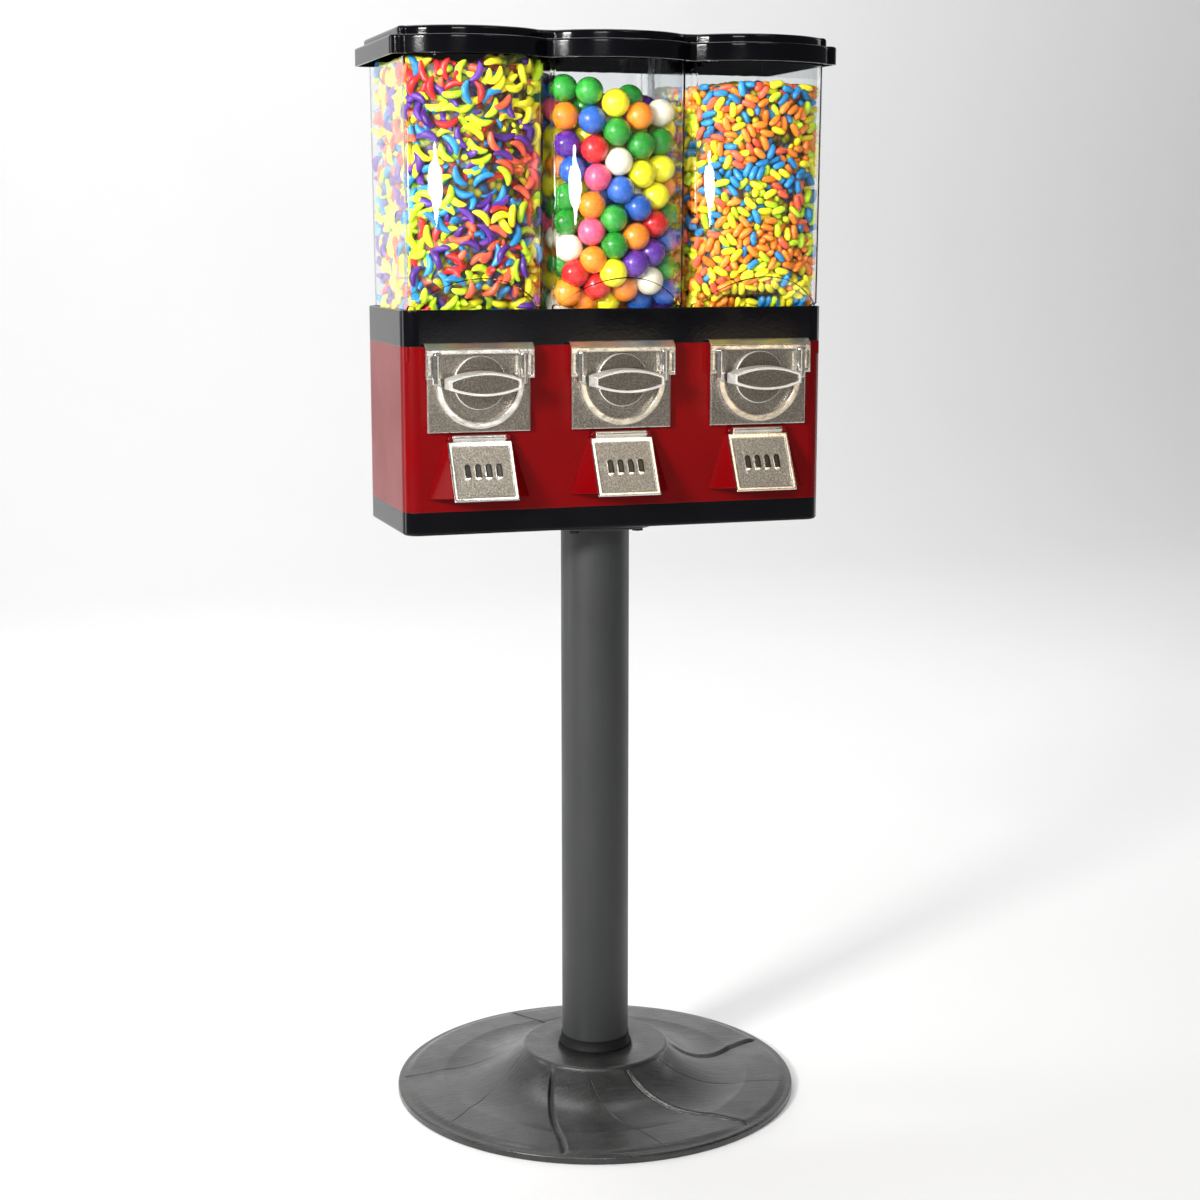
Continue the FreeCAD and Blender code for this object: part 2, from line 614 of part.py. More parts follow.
def lid_lock_bodies():
    """Two chromed lock housings set in the lid, one over each strap."""
    ring = tube(11.5, 7.2, V(0, LOCK_Y, LID_TOP + 0.02), 2.6)
    ring = soften(ring, 1.0, lambda e: abs(e.BoundBox.ZMin - LID_TOP - 2.62) < 0.01 and e.Length > 60)
    neck = tube(9.4, 7.2, V(0, LOCK_Y, LID_TOP - 6.0), 6.1)
    body = fuse([ring, neck])
    return Part.makeCompound([at(body, s * PITCH / 2) for s in (-1, 1)])


def lid_lock(s):
    """Turning lock plug with a key slot, and its cam, shown unlocked with the cam across."""
    plug = cylinder(7.1, V(0, LOCK_Y, LID_TOP - 6.2), 8.0)
    keyway = fuse([box(-0.6, 0.6, LOCK_Y - 4, LOCK_Y + 4, LID_TOP - 0.5, LID_TOP + 5),
                   cylinder(1.7, V(0, LOCK_Y + 1.5, LID_TOP - 0.5), 5.0)])
    neck = cylinder(3.4, V(0, LOCK_Y, CAM_Z), LID_TOP - 6.0 - CAM_Z)
    cam = fuse([box(0, CAM_LONG, LOCK_Y - 3, LOCK_Y + 3, CAM_Z, CAM_Z + CAM_T),
                cylinder(5.0, V(0, LOCK_Y, CAM_Z), CAM_T)])
    return at(fuse([plug.cut(keyway), neck, cam]), s * PITCH / 2)


# ---- coin mechanism -----------------------------------------------------------------------
def mech_plate(side):
    """Die-cast face plate: pocket with two round columns, half ring, and a coin slot in the top bevel."""
    low, top, face = PLATE_LOW, PLATE_TOP, PLATE_FACE
    plate = box(-PLATE_HALF + 2.2, PLATE_HALF - 2.2, face, FRONT, low, top)
    plate = soften(plate, 1.2, lambda e: e.BoundBox.YMax < face + 0.01 and e.BoundBox.ZMin < low + 0.01)
    proud = face - PROUD
    block = yz_prism([(FRONT, POCKET_FOOT), (proud, POCKET_FOOT), (proud, top - 5), (proud + 6, top),
                      (FRONT, top)], PLATE_HALF)
    pocket = box(-34.5, 34.5, proud - 1, face, POCKET_FOOT - 1, top - 9.5)
    block = cut(block, [pocket])
    for s in (-1, 1):
        block = block.cut(box(min(s * 41, s * 47.6), max(s * 41, s * 47.6), proud - 1, proud + 2.6,
                              POCKET_FOOT + 2.2, top - 10.5))
    columns = [cylinder(4.2, V(s * COLUMN_X, proud + 1.2, AXIS_Z - 1), top - 9.0 - AXIS_Z + 1) for s in (-1, 1)]
    columns = [c.common(box(-60, 60, proud - 5, face + 0.5, low, top)) for c in columns]
    ring = tube(40.5, 35.0, V(0, proud + 1.0, AXIS_Z), face - proud - 0.5, Y_AXIS)
    ring = ring.common(box(-60, 60, proud - 5, face + 1, AXIS_Z - 60, AXIS_Z + 0.5))
    body = fuse([plate, block, ring] + columns)
    disc_room = cylinder(DISC_R + CLEAR, V(0, FRONT - 3.9, AXIS_Z), 6.0, Y_AXIS)
    slot = box(-14, 14, FRONT - 3.8, FRONT - 1.2, AXIS_Z, top + 1)
    lead_in = yz_prism([(FRONT - 5.4, top + 0.5), (FRONT - 0.6, top + 0.5), (FRONT - 1.2, top - 2.5),
                        (FRONT - 3.8, top - 2.5)], 17)
    outlet = box(-14, 14, FRONT - 3.8, FRONT + 1, low + 5, AXIS_Z - 20)
    bore = cylinder(SHAFT_R + 0.06, V(0, face - 10, AXIS_Z), 30.0, Y_AXIS)
    threads = [cylinder(1.55, V(x, FRONT - 3.5, z), 6.0, Y_AXIS) for x, z in mech_screw_places()]
    return at(cut(body, [disc_room, slot, lead_in, outlet, bore] + threads), head_x(side))


def mech_screw_places():
    return [(x, z) for x in (-37.5, 37.5) for z in (PLATE_LOW + 9.0, PLATE_TOP - 10.0)]


def mech_housing(side):
    """Rear case of the mechanism: holds the shaft's rear bearing, open below for the coins."""
    z0 = PLATE_LOW + 4.5
    z1 = TRAY_Z - 1.0
    case = box(-42, 42, FRONT + 0.1, HOUSING_REAR, z0, z1)
    space = box(-40, 40, FRONT - 1, HOUSING_REAR - 2, z0 - 1, z1 - 2)
    bosses = [cylinder(3.8, V(x, FRONT + 0.1, z), HOUSING_REAR - FRONT - 1.1, Y_AXIS) for x, z in mech_screw_places()]
    bearing = cylinder(9.0, V(0, HOUSING_REAR - 6, AXIS_Z), 6.0, Y_AXIS)
    keeper = cylinder(1.8, V(PAWL_X, -68.0, PAWL_Z), HOUSING_REAR + 68.0 - 1.0, Y_AXIS)
    body = fuse([case.cut(space)] + bosses + [bearing, keeper])
    bore = cylinder(SHAFT_R + 0.06, V(0, FRONT, AXIS_Z), 30.0, Y_AXIS)
    holes = [cylinder(1.65, V(x, FRONT - 1, z), 30.0, Y_AXIS) for x, z in mech_screw_places()]
    return at(cut(body, [bore] + holes), head_x(side))


def mech_screws():
    """Screws that hold each rear case to its face plate."""
    pieces = []
    for side in HEADS:
        for x, z in mech_screw_places():
            shank = cylinder(1.5, V(x, FRONT - 3.0, z), HOUSING_REAR - FRONT + 3.5, Y_AXIS)
            cap = cylinder(2.9, V(x, HOUSING_REAR + 0.05, z), 2.0, Y_AXIS)
            pieces.append(at(fuse([shank, cap]), head_x(side)))
    return Part.makeCompound(pieces)


def lens_outline(half, bulge, tip, y):
    """Pointed-oval outline with cut-off ends, in the plane y."""
    return Part.Wire([
        Part.Arc(V(-half, y, AXIS_Z + tip), V(0, y, AXIS_Z + bulge), V(half, y, AXIS_Z + tip)).toShape(),
        Part.LineSegment(V(half, y, AXIS_Z + tip), V(half, y, AXIS_Z - tip)).toShape(),
        Part.Arc(V(half, y, AXIS_Z - tip), V(0, y, AXIS_Z - bulge), V(-half, y, AXIS_Z - tip)).toShape(),
        Part.LineSegment(V(-half, y, AXIS_Z - tip), V(-half, y, AXIS_Z + tip)).toShape(),
    ])


def handle(side):
    """Turning handle: oval grip, dial and shaft in one casting."""
    back = lens_outline(GRIP_HALF, GRIP_BULGE + 0.6, GRIP_TIP + 0.4, GRIP_BACK)
    front = lens_outline(GRIP_HALF - 0.6, GRIP_BULGE, GRIP_TIP, GRIP_FRONT)
    grip = Part.makeLoft([back, front], True, True)
    neck = lens_outline(DIAL_R - 1.0, GRIP_BULGE - 0.4, GRIP_TIP - 0.4, GRIP_BACK - 1)
    grip = soften(grip, 0.9, lambda e: e.BoundBox.YMax < GRIP_FRONT + 0.01)
    field = lens_outline(GRIP_HALF - 3.4, GRIP_BULGE - 2.2, GRIP_TIP - 1.6, GRIP_FRONT - 1)
    grip = grip.cut(Part.Face(field).extrude(V(0, 1.7, 0)))
    dial = cylinder(DIAL_R, V(0, DIAL_FRONT, AXIS_Z), PLATE_FACE - 0.4 - DIAL_FRONT, Y_AXIS)
    dial = soften(dial, 0.8, lambda e: e.BoundBox.YMax < DIAL_FRONT + 0.01)
    shaft = cylinder(SHAFT_R, V(0, DIAL_FRONT + 1, AXIS_Z), SHAFT_END - DIAL_FRONT - 1, Y_AXIS)
    stem = Part.Face(neck).extrude(V(0, DIAL_FRONT - GRIP_BACK + 2, 0))
    return at(fuse([grip, stem, dial, shaft]), head_x(side))


def ratchet_outline(y):
    points = []
    for i in range(RATCHET_TEETH):
        start = math.radians(360.0 * i / RATCHET_TEETH)
        end = math.radians(360.0 * (i + 1) / RATCHET_TEETH)
        points.append(V(RATCHET_R * math.cos(start), y, AXIS_Z + RATCHET_R * math.sin(start)))
        root = RATCHET_R - RATCHET_DEEP
        points.append(V(root * math.cos(end), y, AXIS_Z + root * math.sin(end)))
    return points


def coin_disc(side):
    """Coin carrier with its pocket for one coin, and the ratchet wheel on its rear."""
    disc = cylinder(DISC_R, V(0, FRONT - 3.6, AXIS_Z), 3.35, Y_AXIS)
    pocket = cylinder(12.4, V(0, FRONT - 5, AXIS_Z + DISC_R - 4), 8.0, Y_AXIS)
    ratchet = prism(ratchet_outline(RATCHET_Y0 - 0.2), V(0, RATCHET_Y1 - RATCHET_Y0 + 0.2, 0))
    body = fuse([disc.cut(pocket), ratchet])
    body = body.cut(cylinder(SHAFT_R + 0.03, V(0, FRONT - 10, AXIS_Z), 30.0, Y_AXIS))
    return at(body, head_x(side))


def pawl(side):
    """Spring pawl that clicks over the ratchet; shown lifted to the top of a tooth."""
    y0 = FRONT + 0.6
    length = 4.0
    eye = cylinder(3.6, V(PAWL_X, y0, PAWL_Z), length, Y_AXIS)
    tip_angle = math.radians(33.0)
    reach = RATCHET_R + 0.45
    tip = V(reach * math.cos(tip_angle), y0, AXIS_Z + reach * math.sin(tip_angle))
    arm = prism([V(PAWL_X - 1.5, y0, PAWL_Z + 3.0), V(PAWL_X - 1.5, y0, PAWL_Z - 3.0), tip,
                 tip + V(0.8, 0, 2.6)], V(0, length, 0))
    body = fuse([eye, arm]).cut(cylinder(1.87, V(PAWL_X, y0 - 1, PAWL_Z), 8.0, Y_AXIS))
    return at(body, head_x(side))


def pawls():
    return Part.makeCompound([pawl(s) for s in HEADS])


def pinion_tooth():
    """One tooth of the pinion, pointing up at angle zero."""
    root = PINION_PITCH - 3.6
    tip = PINION_PITCH + TOOTH_OUT
    y = WHEEL_Y - CROWN_R - CROWN_HALF
    points = [V(-3.0, y, AXIS_Z + root - 2), V(-2.9, y, AXIS_Z + root), V(-2.5, y, AXIS_Z + PINION_PITCH),
              V(-1.2, y, AXIS_Z + tip), V(1.2, y, AXIS_Z + tip), V(2.5, y, AXIS_Z + PINION_PITCH),
              V(2.9, y, AXIS_Z + root), V(3.0, y, AXIS_Z + root - 2)]
    return prism(points, V(0, 2 * CROWN_HALF, 0))


def pinion(side):
    """Eight-tooth pinion on the shaft's end, in mesh with the crown teeth under the wheel."""
    y = WHEEL_Y - CROWN_R - CROWN_HALF
    centre = V(0, y, AXIS_Z)
    hub = cylinder(PINION_PITCH - 3.4, centre, 2 * CROWN_HALF, Y_AXIS)
    half_step = 180.0 / PINION_TEETH
    first = turned(pinion_tooth(), centre, Y_AXIS, half_step)
    body = fuse([hub] + around(first, PINION_TEETH, centre, Y_AXIS))
    body = body.cut(cylinder(SHAFT_R + 0.03, V(0, y - 1, AXIS_Z), 10.0, Y_AXIS))
    return at(body, head_x(side))


# ---- product wheels -----------------------------------------------------------------------
def crown_tooth():
    """One tooth under the wheel's rim, at the front of the wheel."""
    root = WHEEL_Z + 0.5
    tip = AXIS_Z + PINION_PITCH - TOOTH_OUT
    y0 = WHEEL_Y - CROWN_R - CROWN_HALF
    points = [V(-2.9, y0, root), V(-1.3, y0, tip), V(1.3, y0, tip), V(2.9, y0, root)]
    return prism(points, V(0, 2 * CROWN_HALF, 0))


def pocket_cut(side):
    """One pocket: a round hole for balls, a rounded sector for small candy."""
    low = WHEEL_Z - 2
    tall = WHEEL_T[side] + 4
    if side == "centre":
        return cylinder(POCKET_HOLE, V(0, WHEEL_Y - POCKET_R, low), tall)
    ring = tube(POCKET_R + 12.5, POCKET_R - 12.0, V(0, WHEEL_Y, low), tall)
    edge = 60.0
    spread = math.radians(22.0)
    sector = prism([V(0, WHEEL_Y, low), V(-edge * math.sin(spread), WHEEL_Y - edge * math.cos(spread), low),
                    V(edge * math.sin(spread), WHEEL_Y - edge * math.cos(spread), low)], V(0, 0, tall))
    return soften(ring.common(sector), 4.0, upright)


def product_wheel(side):
    """Dispensing wheel with its pockets and the ring of crown teeth below."""
    centre = V(0, WHEEL_Y, 0)
    disc = cylinder(WHEEL_R, V(0, WHEEL_Y, WHEEL_Z), WHEEL_T[side])
    disc = soften(disc, 1.5, level_at(WHEEL_Z + WHEEL_T[side]))
    teeth = around(crown_tooth(), CROWN_TEETH, centre)
    wheel = fuse([disc] + teeth)
    wheel = cut(wheel, around(pocket_cut(side), POCKETS, centre))
    wheel = wheel.cut(cylinder(POST_R + 0.06, V(0, WHEEL_Y, WHEEL_Z - 5), 60.0))
    return at(wheel, head_x(side))


def stirrer(side):
    """Three-fingered stirrer fixed on the wheel, which keeps the candy loose."""
    top = WHEEL_Z + WHEEL_T[side]
    hub = tube(10.0, POST_R + 0.06, V(0, WHEEL_Y, top + 0.02), 9.0)
    start = V(0, WHEEL_Y - 7.0, top + 6.6)
    knee = V(0, WHEEL_Y - 26.0, top + 9.5)
    end = V(0, WHEEL_Y - 31.0, top + 15.0)
    finger = fuse([cylinder(1.5, start, (knee - start).Length, knee - start),
                   cylinder(1.5, knee, (end - knee).Length, end - knee), Part.makeSphere(1.5, knee),
                   Part.makeSphere(1.5, end)])
    fingers = [turned(f, V(0, WHEEL_Y, 0), Z_AXIS, 60) for f in around(finger, 3, V(0, WHEEL_Y, 0))]
    return at(fuse([hub] + fingers), head_x(side))


def baffles():
    """Fixed covers over the three drop holes, so that only a full pocket empties."""
    pieces = []
    for side in HEADS:
        z = WHEEL_Z + WHEEL_T[side] + 1.0
        ring = tube(WELL_R - 0.1, 18.0, V(0, WHEEL_Y, z), 2.0)
        cover = ring.common(box(-21, 21, -80, WHEEL_Y - 10, z - 1, z + 4))
        pieces.append(at(cover, head_x(side)))
    return Part.makeCompound(pieces)


# ---- delivery -----------------------------------------------------------------------------
def chute(side):
    """Moulded chute from the drop hole to the mouth behind the flap."""
    body = yz_prism(above_pan(CHUTE_OUTER), MOUTH_HALF + 2).cut(yz_prism(above_pan(CHUTE_INNER), MOUTH_HALF))
    return at(body, head_x(side))


def flap(side):
    """Cast delivery flap: raised border, ribbed field and a rolled hinge, tilted on the hood."""
    y0 = HINGE_Y + FLAP_BACK - FLAP_T
    rear = HINGE_Y + FLAP_BACK
    top_z = HINGE_Z - 3.4
    low_z = HINGE_Z - FLAP_LONG
    plate = box(-FLAP_HALF, FLAP_HALF, y0, rear, low_z, top_z)
    plate = soften(plate, 0.8, lambda e: e.BoundBox.YMax < y0 + 0.01)
    field = box(-FLAP_HALF + 3.2, FLAP_HALF - 3.2, y0 - 1, y0 + 0.8, low_z + 3.2, top_z - 5.0)
    ribs = []
    mid_z = (low_z + top_z) / 2 - 1.0
    for i in range(4):
        x = -14.4 + 9.6 * i
        rib = fuse([box(x - 2.6, x + 2.6, y0, y0 + 1.2, mid_z - 5, mid_z + 5),
                    cylinder(2.6, V(x, y0, mid_z + 5), 1.2, Y_AXIS),
                    cylinder(2.6, V(x, y0, mid_z - 5), 1.2, Y_AXIS)])
        ribs.append(rib)
    web = box(-24.0, 24.0, y0 + 0.2, HINGE_Y + 1.0, top_z - 0.5, HINGE_Z)
    barrel = cylinder(2.7, V(-24.6, HINGE_Y, HINGE_Z), 49.2, X_AXIS)
    body = fuse([plate.cut(field), web, barrel] + ribs)
    body = body.cut(cylinder(PIN_R + 0.08, V(-30, HINGE_Y, HINGE_Z), 60.0, X_AXIS))
    body = turned(body, V(0, HINGE_Y, HINGE_Z), X_AXIS, -FLAP_TILT)
    return at(body, head_x(side))


def flap_pins():
    pins = [cylinder(PIN_R, V(head_x(s) - 28.3, HINGE_Y, HINGE_Z), 56.6, X_AXIS) for s in HEADS]
    return Part.makeCompound(pins)


# ---- rear door ----------------------------------------------------------------------------
def rear_door():
    """Door in the rear wall, with its moving knuckles and a hole for the lock."""
    panel = box(-DOOR_HALF, DOOR_HALF, REAR - DOOR_T, REAR, DOOR_LOW, DOOR_TOP)
    ribs = []
    for x in (-60.0, 60.0):
        ribs.append(box(x - 1.5, x + 1.5, REAR - DOOR_T - 4, REAR - DOOR_T + 0.5, DOOR_LOW + 8, DOOR_TOP - 8))
    parts = [panel] + ribs
    for low in moving_knuckle_feet():
        top = low + KNUCKLE
        barrel = cylinder(KNUCKLE_R, V(DOOR_HINGE_X, DOOR_HINGE_Y, low), KNUCKLE)
        leaf = box(DOOR_HINGE_X, DOOR_HINGE_X + 16, DOOR_HINGE_Y - 1.6, DOOR_HINGE_Y + 0.4, low, top)
        stem = box(DOOR_HINGE_X + 8, DOOR_HINGE_X + 16, REAR - 0.5, DOOR_HINGE_Y, low, top)
        parts.extend([barrel, leaf, stem])
    body = fuse(parts)
    tools = [cylinder(9.6, V(DOOR_LOCK_X, REAR - 10, DOOR_LOCK_Z), 20.0, Y_AXIS)]
    for low in moving_knuckle_feet():
        tools.append(cylinder(1.6, V(DOOR_HINGE_X, DOOR_HINGE_Y, low - PAST), KNUCKLE + 2 * PAST))
    return cut(body, tools)


def door_hinge_pins():
    pins = [cylinder(1.5, V(DOOR_HINGE_X, DOOR_HINGE_Y, low - PAST), HINGE_LENGTH + 2 * PAST)
            for low in hinge_feet()]
    return Part.makeCompound(pins)


def door_lock():
    """Cam lock in the door; the cam hangs down when unlocked and turns behind the frame."""
    barrel = cylinder(9.4, V(DOOR_LOCK_X, REAR - 6, DOOR_LOCK_Z), 6.1, Y_AXIS)
    rim = cylinder(11.5, V(DOOR_LOCK_X, REAR + 0.1, DOOR_LOCK_Z), 2.4, Y_AXIS)
    rim = soften(rim, 1.0, lambda e: e.BoundBox.YMin > REAR + 2.4)
    cam = fuse([box(DOOR_LOCK_X - 4, DOOR_LOCK_X + 4, REAR - 8, REAR - 6, DOOR_LOCK_Z - 30, DOOR_LOCK_Z),
                cylinder(7.0, V(DOOR_LOCK_X, REAR - 8, DOOR_LOCK_Z), 2.0, Y_AXIS)])
    keyway = box(DOOR_LOCK_X - 0.7, DOOR_LOCK_X + 0.7, REAR - 1, REAR + 5, DOOR_LOCK_Z - 4, DOOR_LOCK_Z + 4)
    return fuse([barrel, rim, cam]).cut(keyway)


# ---- everything ---------------------------------------------------------------------------
def all_parts():
    parts = {
        "base_casting": base_casting(),
        "base_bolt_set": base_bolt_set(),
        "pole_tube": pole_tube(),
        "pole_plug": pole_plug(),
        "pole_collar": pole_collar(),
        "top_flange": top_flange(),
        "flange_fasteners": flange_fasteners(),
        "base_pan": base_pan(),
        "cabinet_shell": cabinet_shell(),
        "hoods": hoods(),
        "canister_tray": canister_tray(),
        "wheel_wells": wheel_wells(),
        "clamp_fasteners": clamp_fasteners(),
        "coin_tray": coin_tray(),
        "lid": lid(),
        "lid_straps": lid_straps(),
        "lid_lock_bodies": lid_lock_bodies(),
        "lid_lock_left": lid_lock(-1),
        "lid_lock_right": lid_lock(1),
        "mech_screws": mech_screws(),
        "baffles": baffles(),
        "pawls": pawls(),
        "flap_pins": flap_pins(),
        "rear_door": rear_door(),
        "door_hinge_pins": door_hinge_pins(),
        "door_lock": door_lock(),
    }
    per_head = {
        "canister": canister, "candy": candy, "mech_plate": mech_plate, "mech_housing": mech_housing,
        "handle": handle, "coin_disc": coin_disc, "pinion": pinion,
        "product_wheel": product_wheel, "stirrer": stirrer, "chute": chute, "flap": flap,
    }
    for name, make in per_head.items():
        for side, shape in on_each_head(make).items():
            parts[f"{name}_{side}"] = shape
    return parts


def main():
    os.makedirs("parts", exist_ok=True)
    for name, shape in all_parts().items():
        shape.exportStep(f"parts/{name}.step")
        bounds = shape.BoundBox
        print(f"{name}: {len(shape.Solids)} solid(s), valid {shape.isValid()}, volume {shape.Volume:.0f}, "
              f"{bounds.XLength:.1f} x {bounds.YLength:.1f} x {bounds.ZLength:.1f}")


if __name__ == "__main__":
    main()
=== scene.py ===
import logging
import math
from dataclasses import dataclass, field
from enum import Enum
from typing import Optional, Sequence

import bpy
import numpy as np
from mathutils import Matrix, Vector


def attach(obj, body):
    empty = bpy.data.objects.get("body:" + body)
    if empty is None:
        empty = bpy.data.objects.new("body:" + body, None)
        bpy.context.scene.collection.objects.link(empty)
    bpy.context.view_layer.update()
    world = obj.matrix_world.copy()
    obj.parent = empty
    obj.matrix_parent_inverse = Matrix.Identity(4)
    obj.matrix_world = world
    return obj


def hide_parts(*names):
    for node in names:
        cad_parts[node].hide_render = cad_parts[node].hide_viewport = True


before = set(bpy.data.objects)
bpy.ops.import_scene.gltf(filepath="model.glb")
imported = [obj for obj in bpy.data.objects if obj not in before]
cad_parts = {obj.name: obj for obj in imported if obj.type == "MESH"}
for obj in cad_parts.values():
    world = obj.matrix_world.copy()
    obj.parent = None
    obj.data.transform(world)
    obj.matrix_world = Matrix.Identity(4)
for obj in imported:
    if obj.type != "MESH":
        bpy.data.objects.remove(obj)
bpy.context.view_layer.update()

log = logging.getLogger("candy_vendor")

MM = 0.001
PITCH = 133.0 * MM
Colour = tuple[float, float, float]
Point = tuple[float, float, float]


class Head(Enum):
    """The three heads, with the place of each along X in pitches."""

    LEFT = -1
    CENTRE = 0
    RIGHT = 1

    @property
    def tag(self) -> str:
        """The word that ends the names of this head's nodes."""
        return self.name.lower()

    @property
    def x(self) -> float:
        """The head's middle along X, in metres."""
        return self.value * PITCH


class Body(Enum):
    """Body that whole-object pieces ride on."""

    STAND = "stand"


# ---- node sheets --------------------------------------------------------------------------
class Sheet:
    """A shader node tree that is being wired."""

    def __init__(self, tree: bpy.types.NodeTree) -> None:
        """Takes an empty node tree to fill."""
        self.tree = tree

    def add(self, kind: str, **settings: object) -> bpy.types.Node:
        """Adds a node.

        Args:
            kind: the node's type name without its ShaderNode prefix.
            settings: attributes of the node to set.

        Returns:
            The new node.
        """
        node = self.tree.nodes.new("ShaderNode" + kind)
        for key, value in settings.items():
            setattr(node, key, value)
        return node

    def feed(self, socket: bpy.types.NodeSocket, value: object) -> None:
        """Links a socket to an input, or sets the input's own value.

        Args:
            socket: the input.
            value: an output socket, a number or a tuple.
        """
        if isinstance(value, bpy.types.NodeSocket):
            self.tree.links.new(value, socket)
        elif isinstance(value, (tuple, list)) and len(value) == 3 and socket.type == "RGBA":
            socket.default_value = (*value, 1.0)
        else:
            socket.default_value = value

    def maths(self, operation: str, a: object, b: object = 0.0, clamp: bool = False) -> bpy.types.NodeSocket:
        """Adds a Math node and returns its output.

        Args:
            operation: Blender's name of the operation.
            a: first value.
            b: second value.
            clamp: keep the result between 0 and 1.

        Returns:
            The result socket.
        """
        node = self.add("Math", operation=operation, use_clamp=clamp)
        self.feed(node.inputs[0], a)
        self.feed(node.inputs[1], b)
        return node.outputs[0]

    def blend(self, share: object, a: object, b: object) -> bpy.types.NodeSocket:
        """Mixes two colours.

        Args:
            share: how much of b.
            a: first colour.
            b: second colour.

        Returns:
            The mixed colour's socket.
        """
        node = self.add("Mix", data_type="RGBA")
        self.feed(node.inputs[0], share)
        self.feed(node.inputs[6], a)
        self.feed(node.inputs[7], b)
        return node.outputs[2]

    def span(self, value: object, low: object, high: object, source: tuple[float, float] = (0.0, 1.0)
             ) -> bpy.types.NodeSocket:
        """Maps a value from one range to another, clamped.

        Args:
            value: the value to map.
            low: result at the source range's low end.
            high: result at its high end.
            source: the source range.

        Returns:
            The mapped value's socket.
        """
        node = self.add("MapRange")
        self.feed(node.inputs[0], value)
        self.feed(node.inputs[1], source[0])
        self.feed(node.inputs[2], source[1])
        self.feed(node.inputs[3], low)
        self.feed(node.inputs[4], high)
        return node.outputs[0]

    def vector(self, operation: str, a: object, b: object) -> bpy.types.Node:
        """Adds a Vector Math node on two vectors.

        Args:
            operation: Blender's name of the operation.
            a: first vector, a socket or a value.
            b: second vector, a socket or a value.

        Returns:
            The new node.
        """
        node = self.add("VectorMath", operation=operation)
        self.feed(node.inputs[0], a)
        self.feed(node.inputs[1], b)
        return node

    def dot(self, a: object, b: object) -> bpy.types.NodeSocket:
        """Returns the dot product of two vectors."""
        return self.vector("DOT_PRODUCT", a, b).outputs["Value"]

    def part(self, vector: object, axis: str) -> bpy.types.NodeSocket:
        """A vector's part along one axis.

        Args:
            vector: socket of the vector.
            axis: X, Y or Z.

        Returns:
            The part's socket.
        """
        node = self.add("SeparateXYZ")
        self.feed(node.inputs[0], vector)
        return node.outputs[axis]

    def geometry(self, output: str) -> bpy.types.NodeSocket:
        """Returns an output of a Geometry node."""
        return self.add("NewGeometry").outputs[output]

    def place(self, stretch: object = (1.0, 1.0, 1.0)) -> bpy.types.NodeSocket:
        """Returns the point on the piece in metres, with each axis stretched by a factor."""
        return self.vector("MULTIPLY", self.add("TexCoord").outputs["Object"], stretch).outputs[0]

    def bump(self, height: object) -> bpy.types.Node:
        """Adds a Bump node for a height.

        Args:
            height: socket of the height in metres.

        Returns:
            The new node.
        """
        node = self.add("Bump")
        node.inputs["Distance"].default_value = 1.0
        self.feed(node.inputs["Height"], height)
        return node

    def noise(self, where: object, scale: object,
              detail: float = 3.0, roughness: float = 0.5) -> bpy.types.NodeSocket:
        """A noise value.

        Args:
            where: point to read the noise at.
            scale: noise scale.
            detail: octaves.
            roughness: weight of the fine octaves.

        Returns:
            The value's socket.
        """
        node = self.add("TexNoise")
        self.feed(node.inputs["Vector"], where)
        self.feed(node.inputs["Scale"], scale)
        node.inputs["Detail"].default_value = detail
        node.inputs["Roughness"].default_value = roughness
        return node.outputs[0]


def soften_edges(sheet: Sheet, bump: bpy.types.Node, radius: float) -> None:
    """Rounds a piece's sharp edges in the shading.

    Args:
        sheet: the material's sheet.
        bump: the bump node that takes the rounded normal.
        radius: the rounding, in metres.
    """
    bevel = sheet.add("Bevel", samples=6)
    bevel.inputs["Radius"].default_value = radius
    sheet.feed(bump.inputs["Normal"], bevel.outputs[0])


class Effect(Enum):
    """Effects that several finishes share, each a node group."""

    EDGE = "edge_wear"
    DUST = "settled_dust"
    MOTTLE = "mottle"
    STREAK = "streaks"
    HAMMER = "hammered_grain"


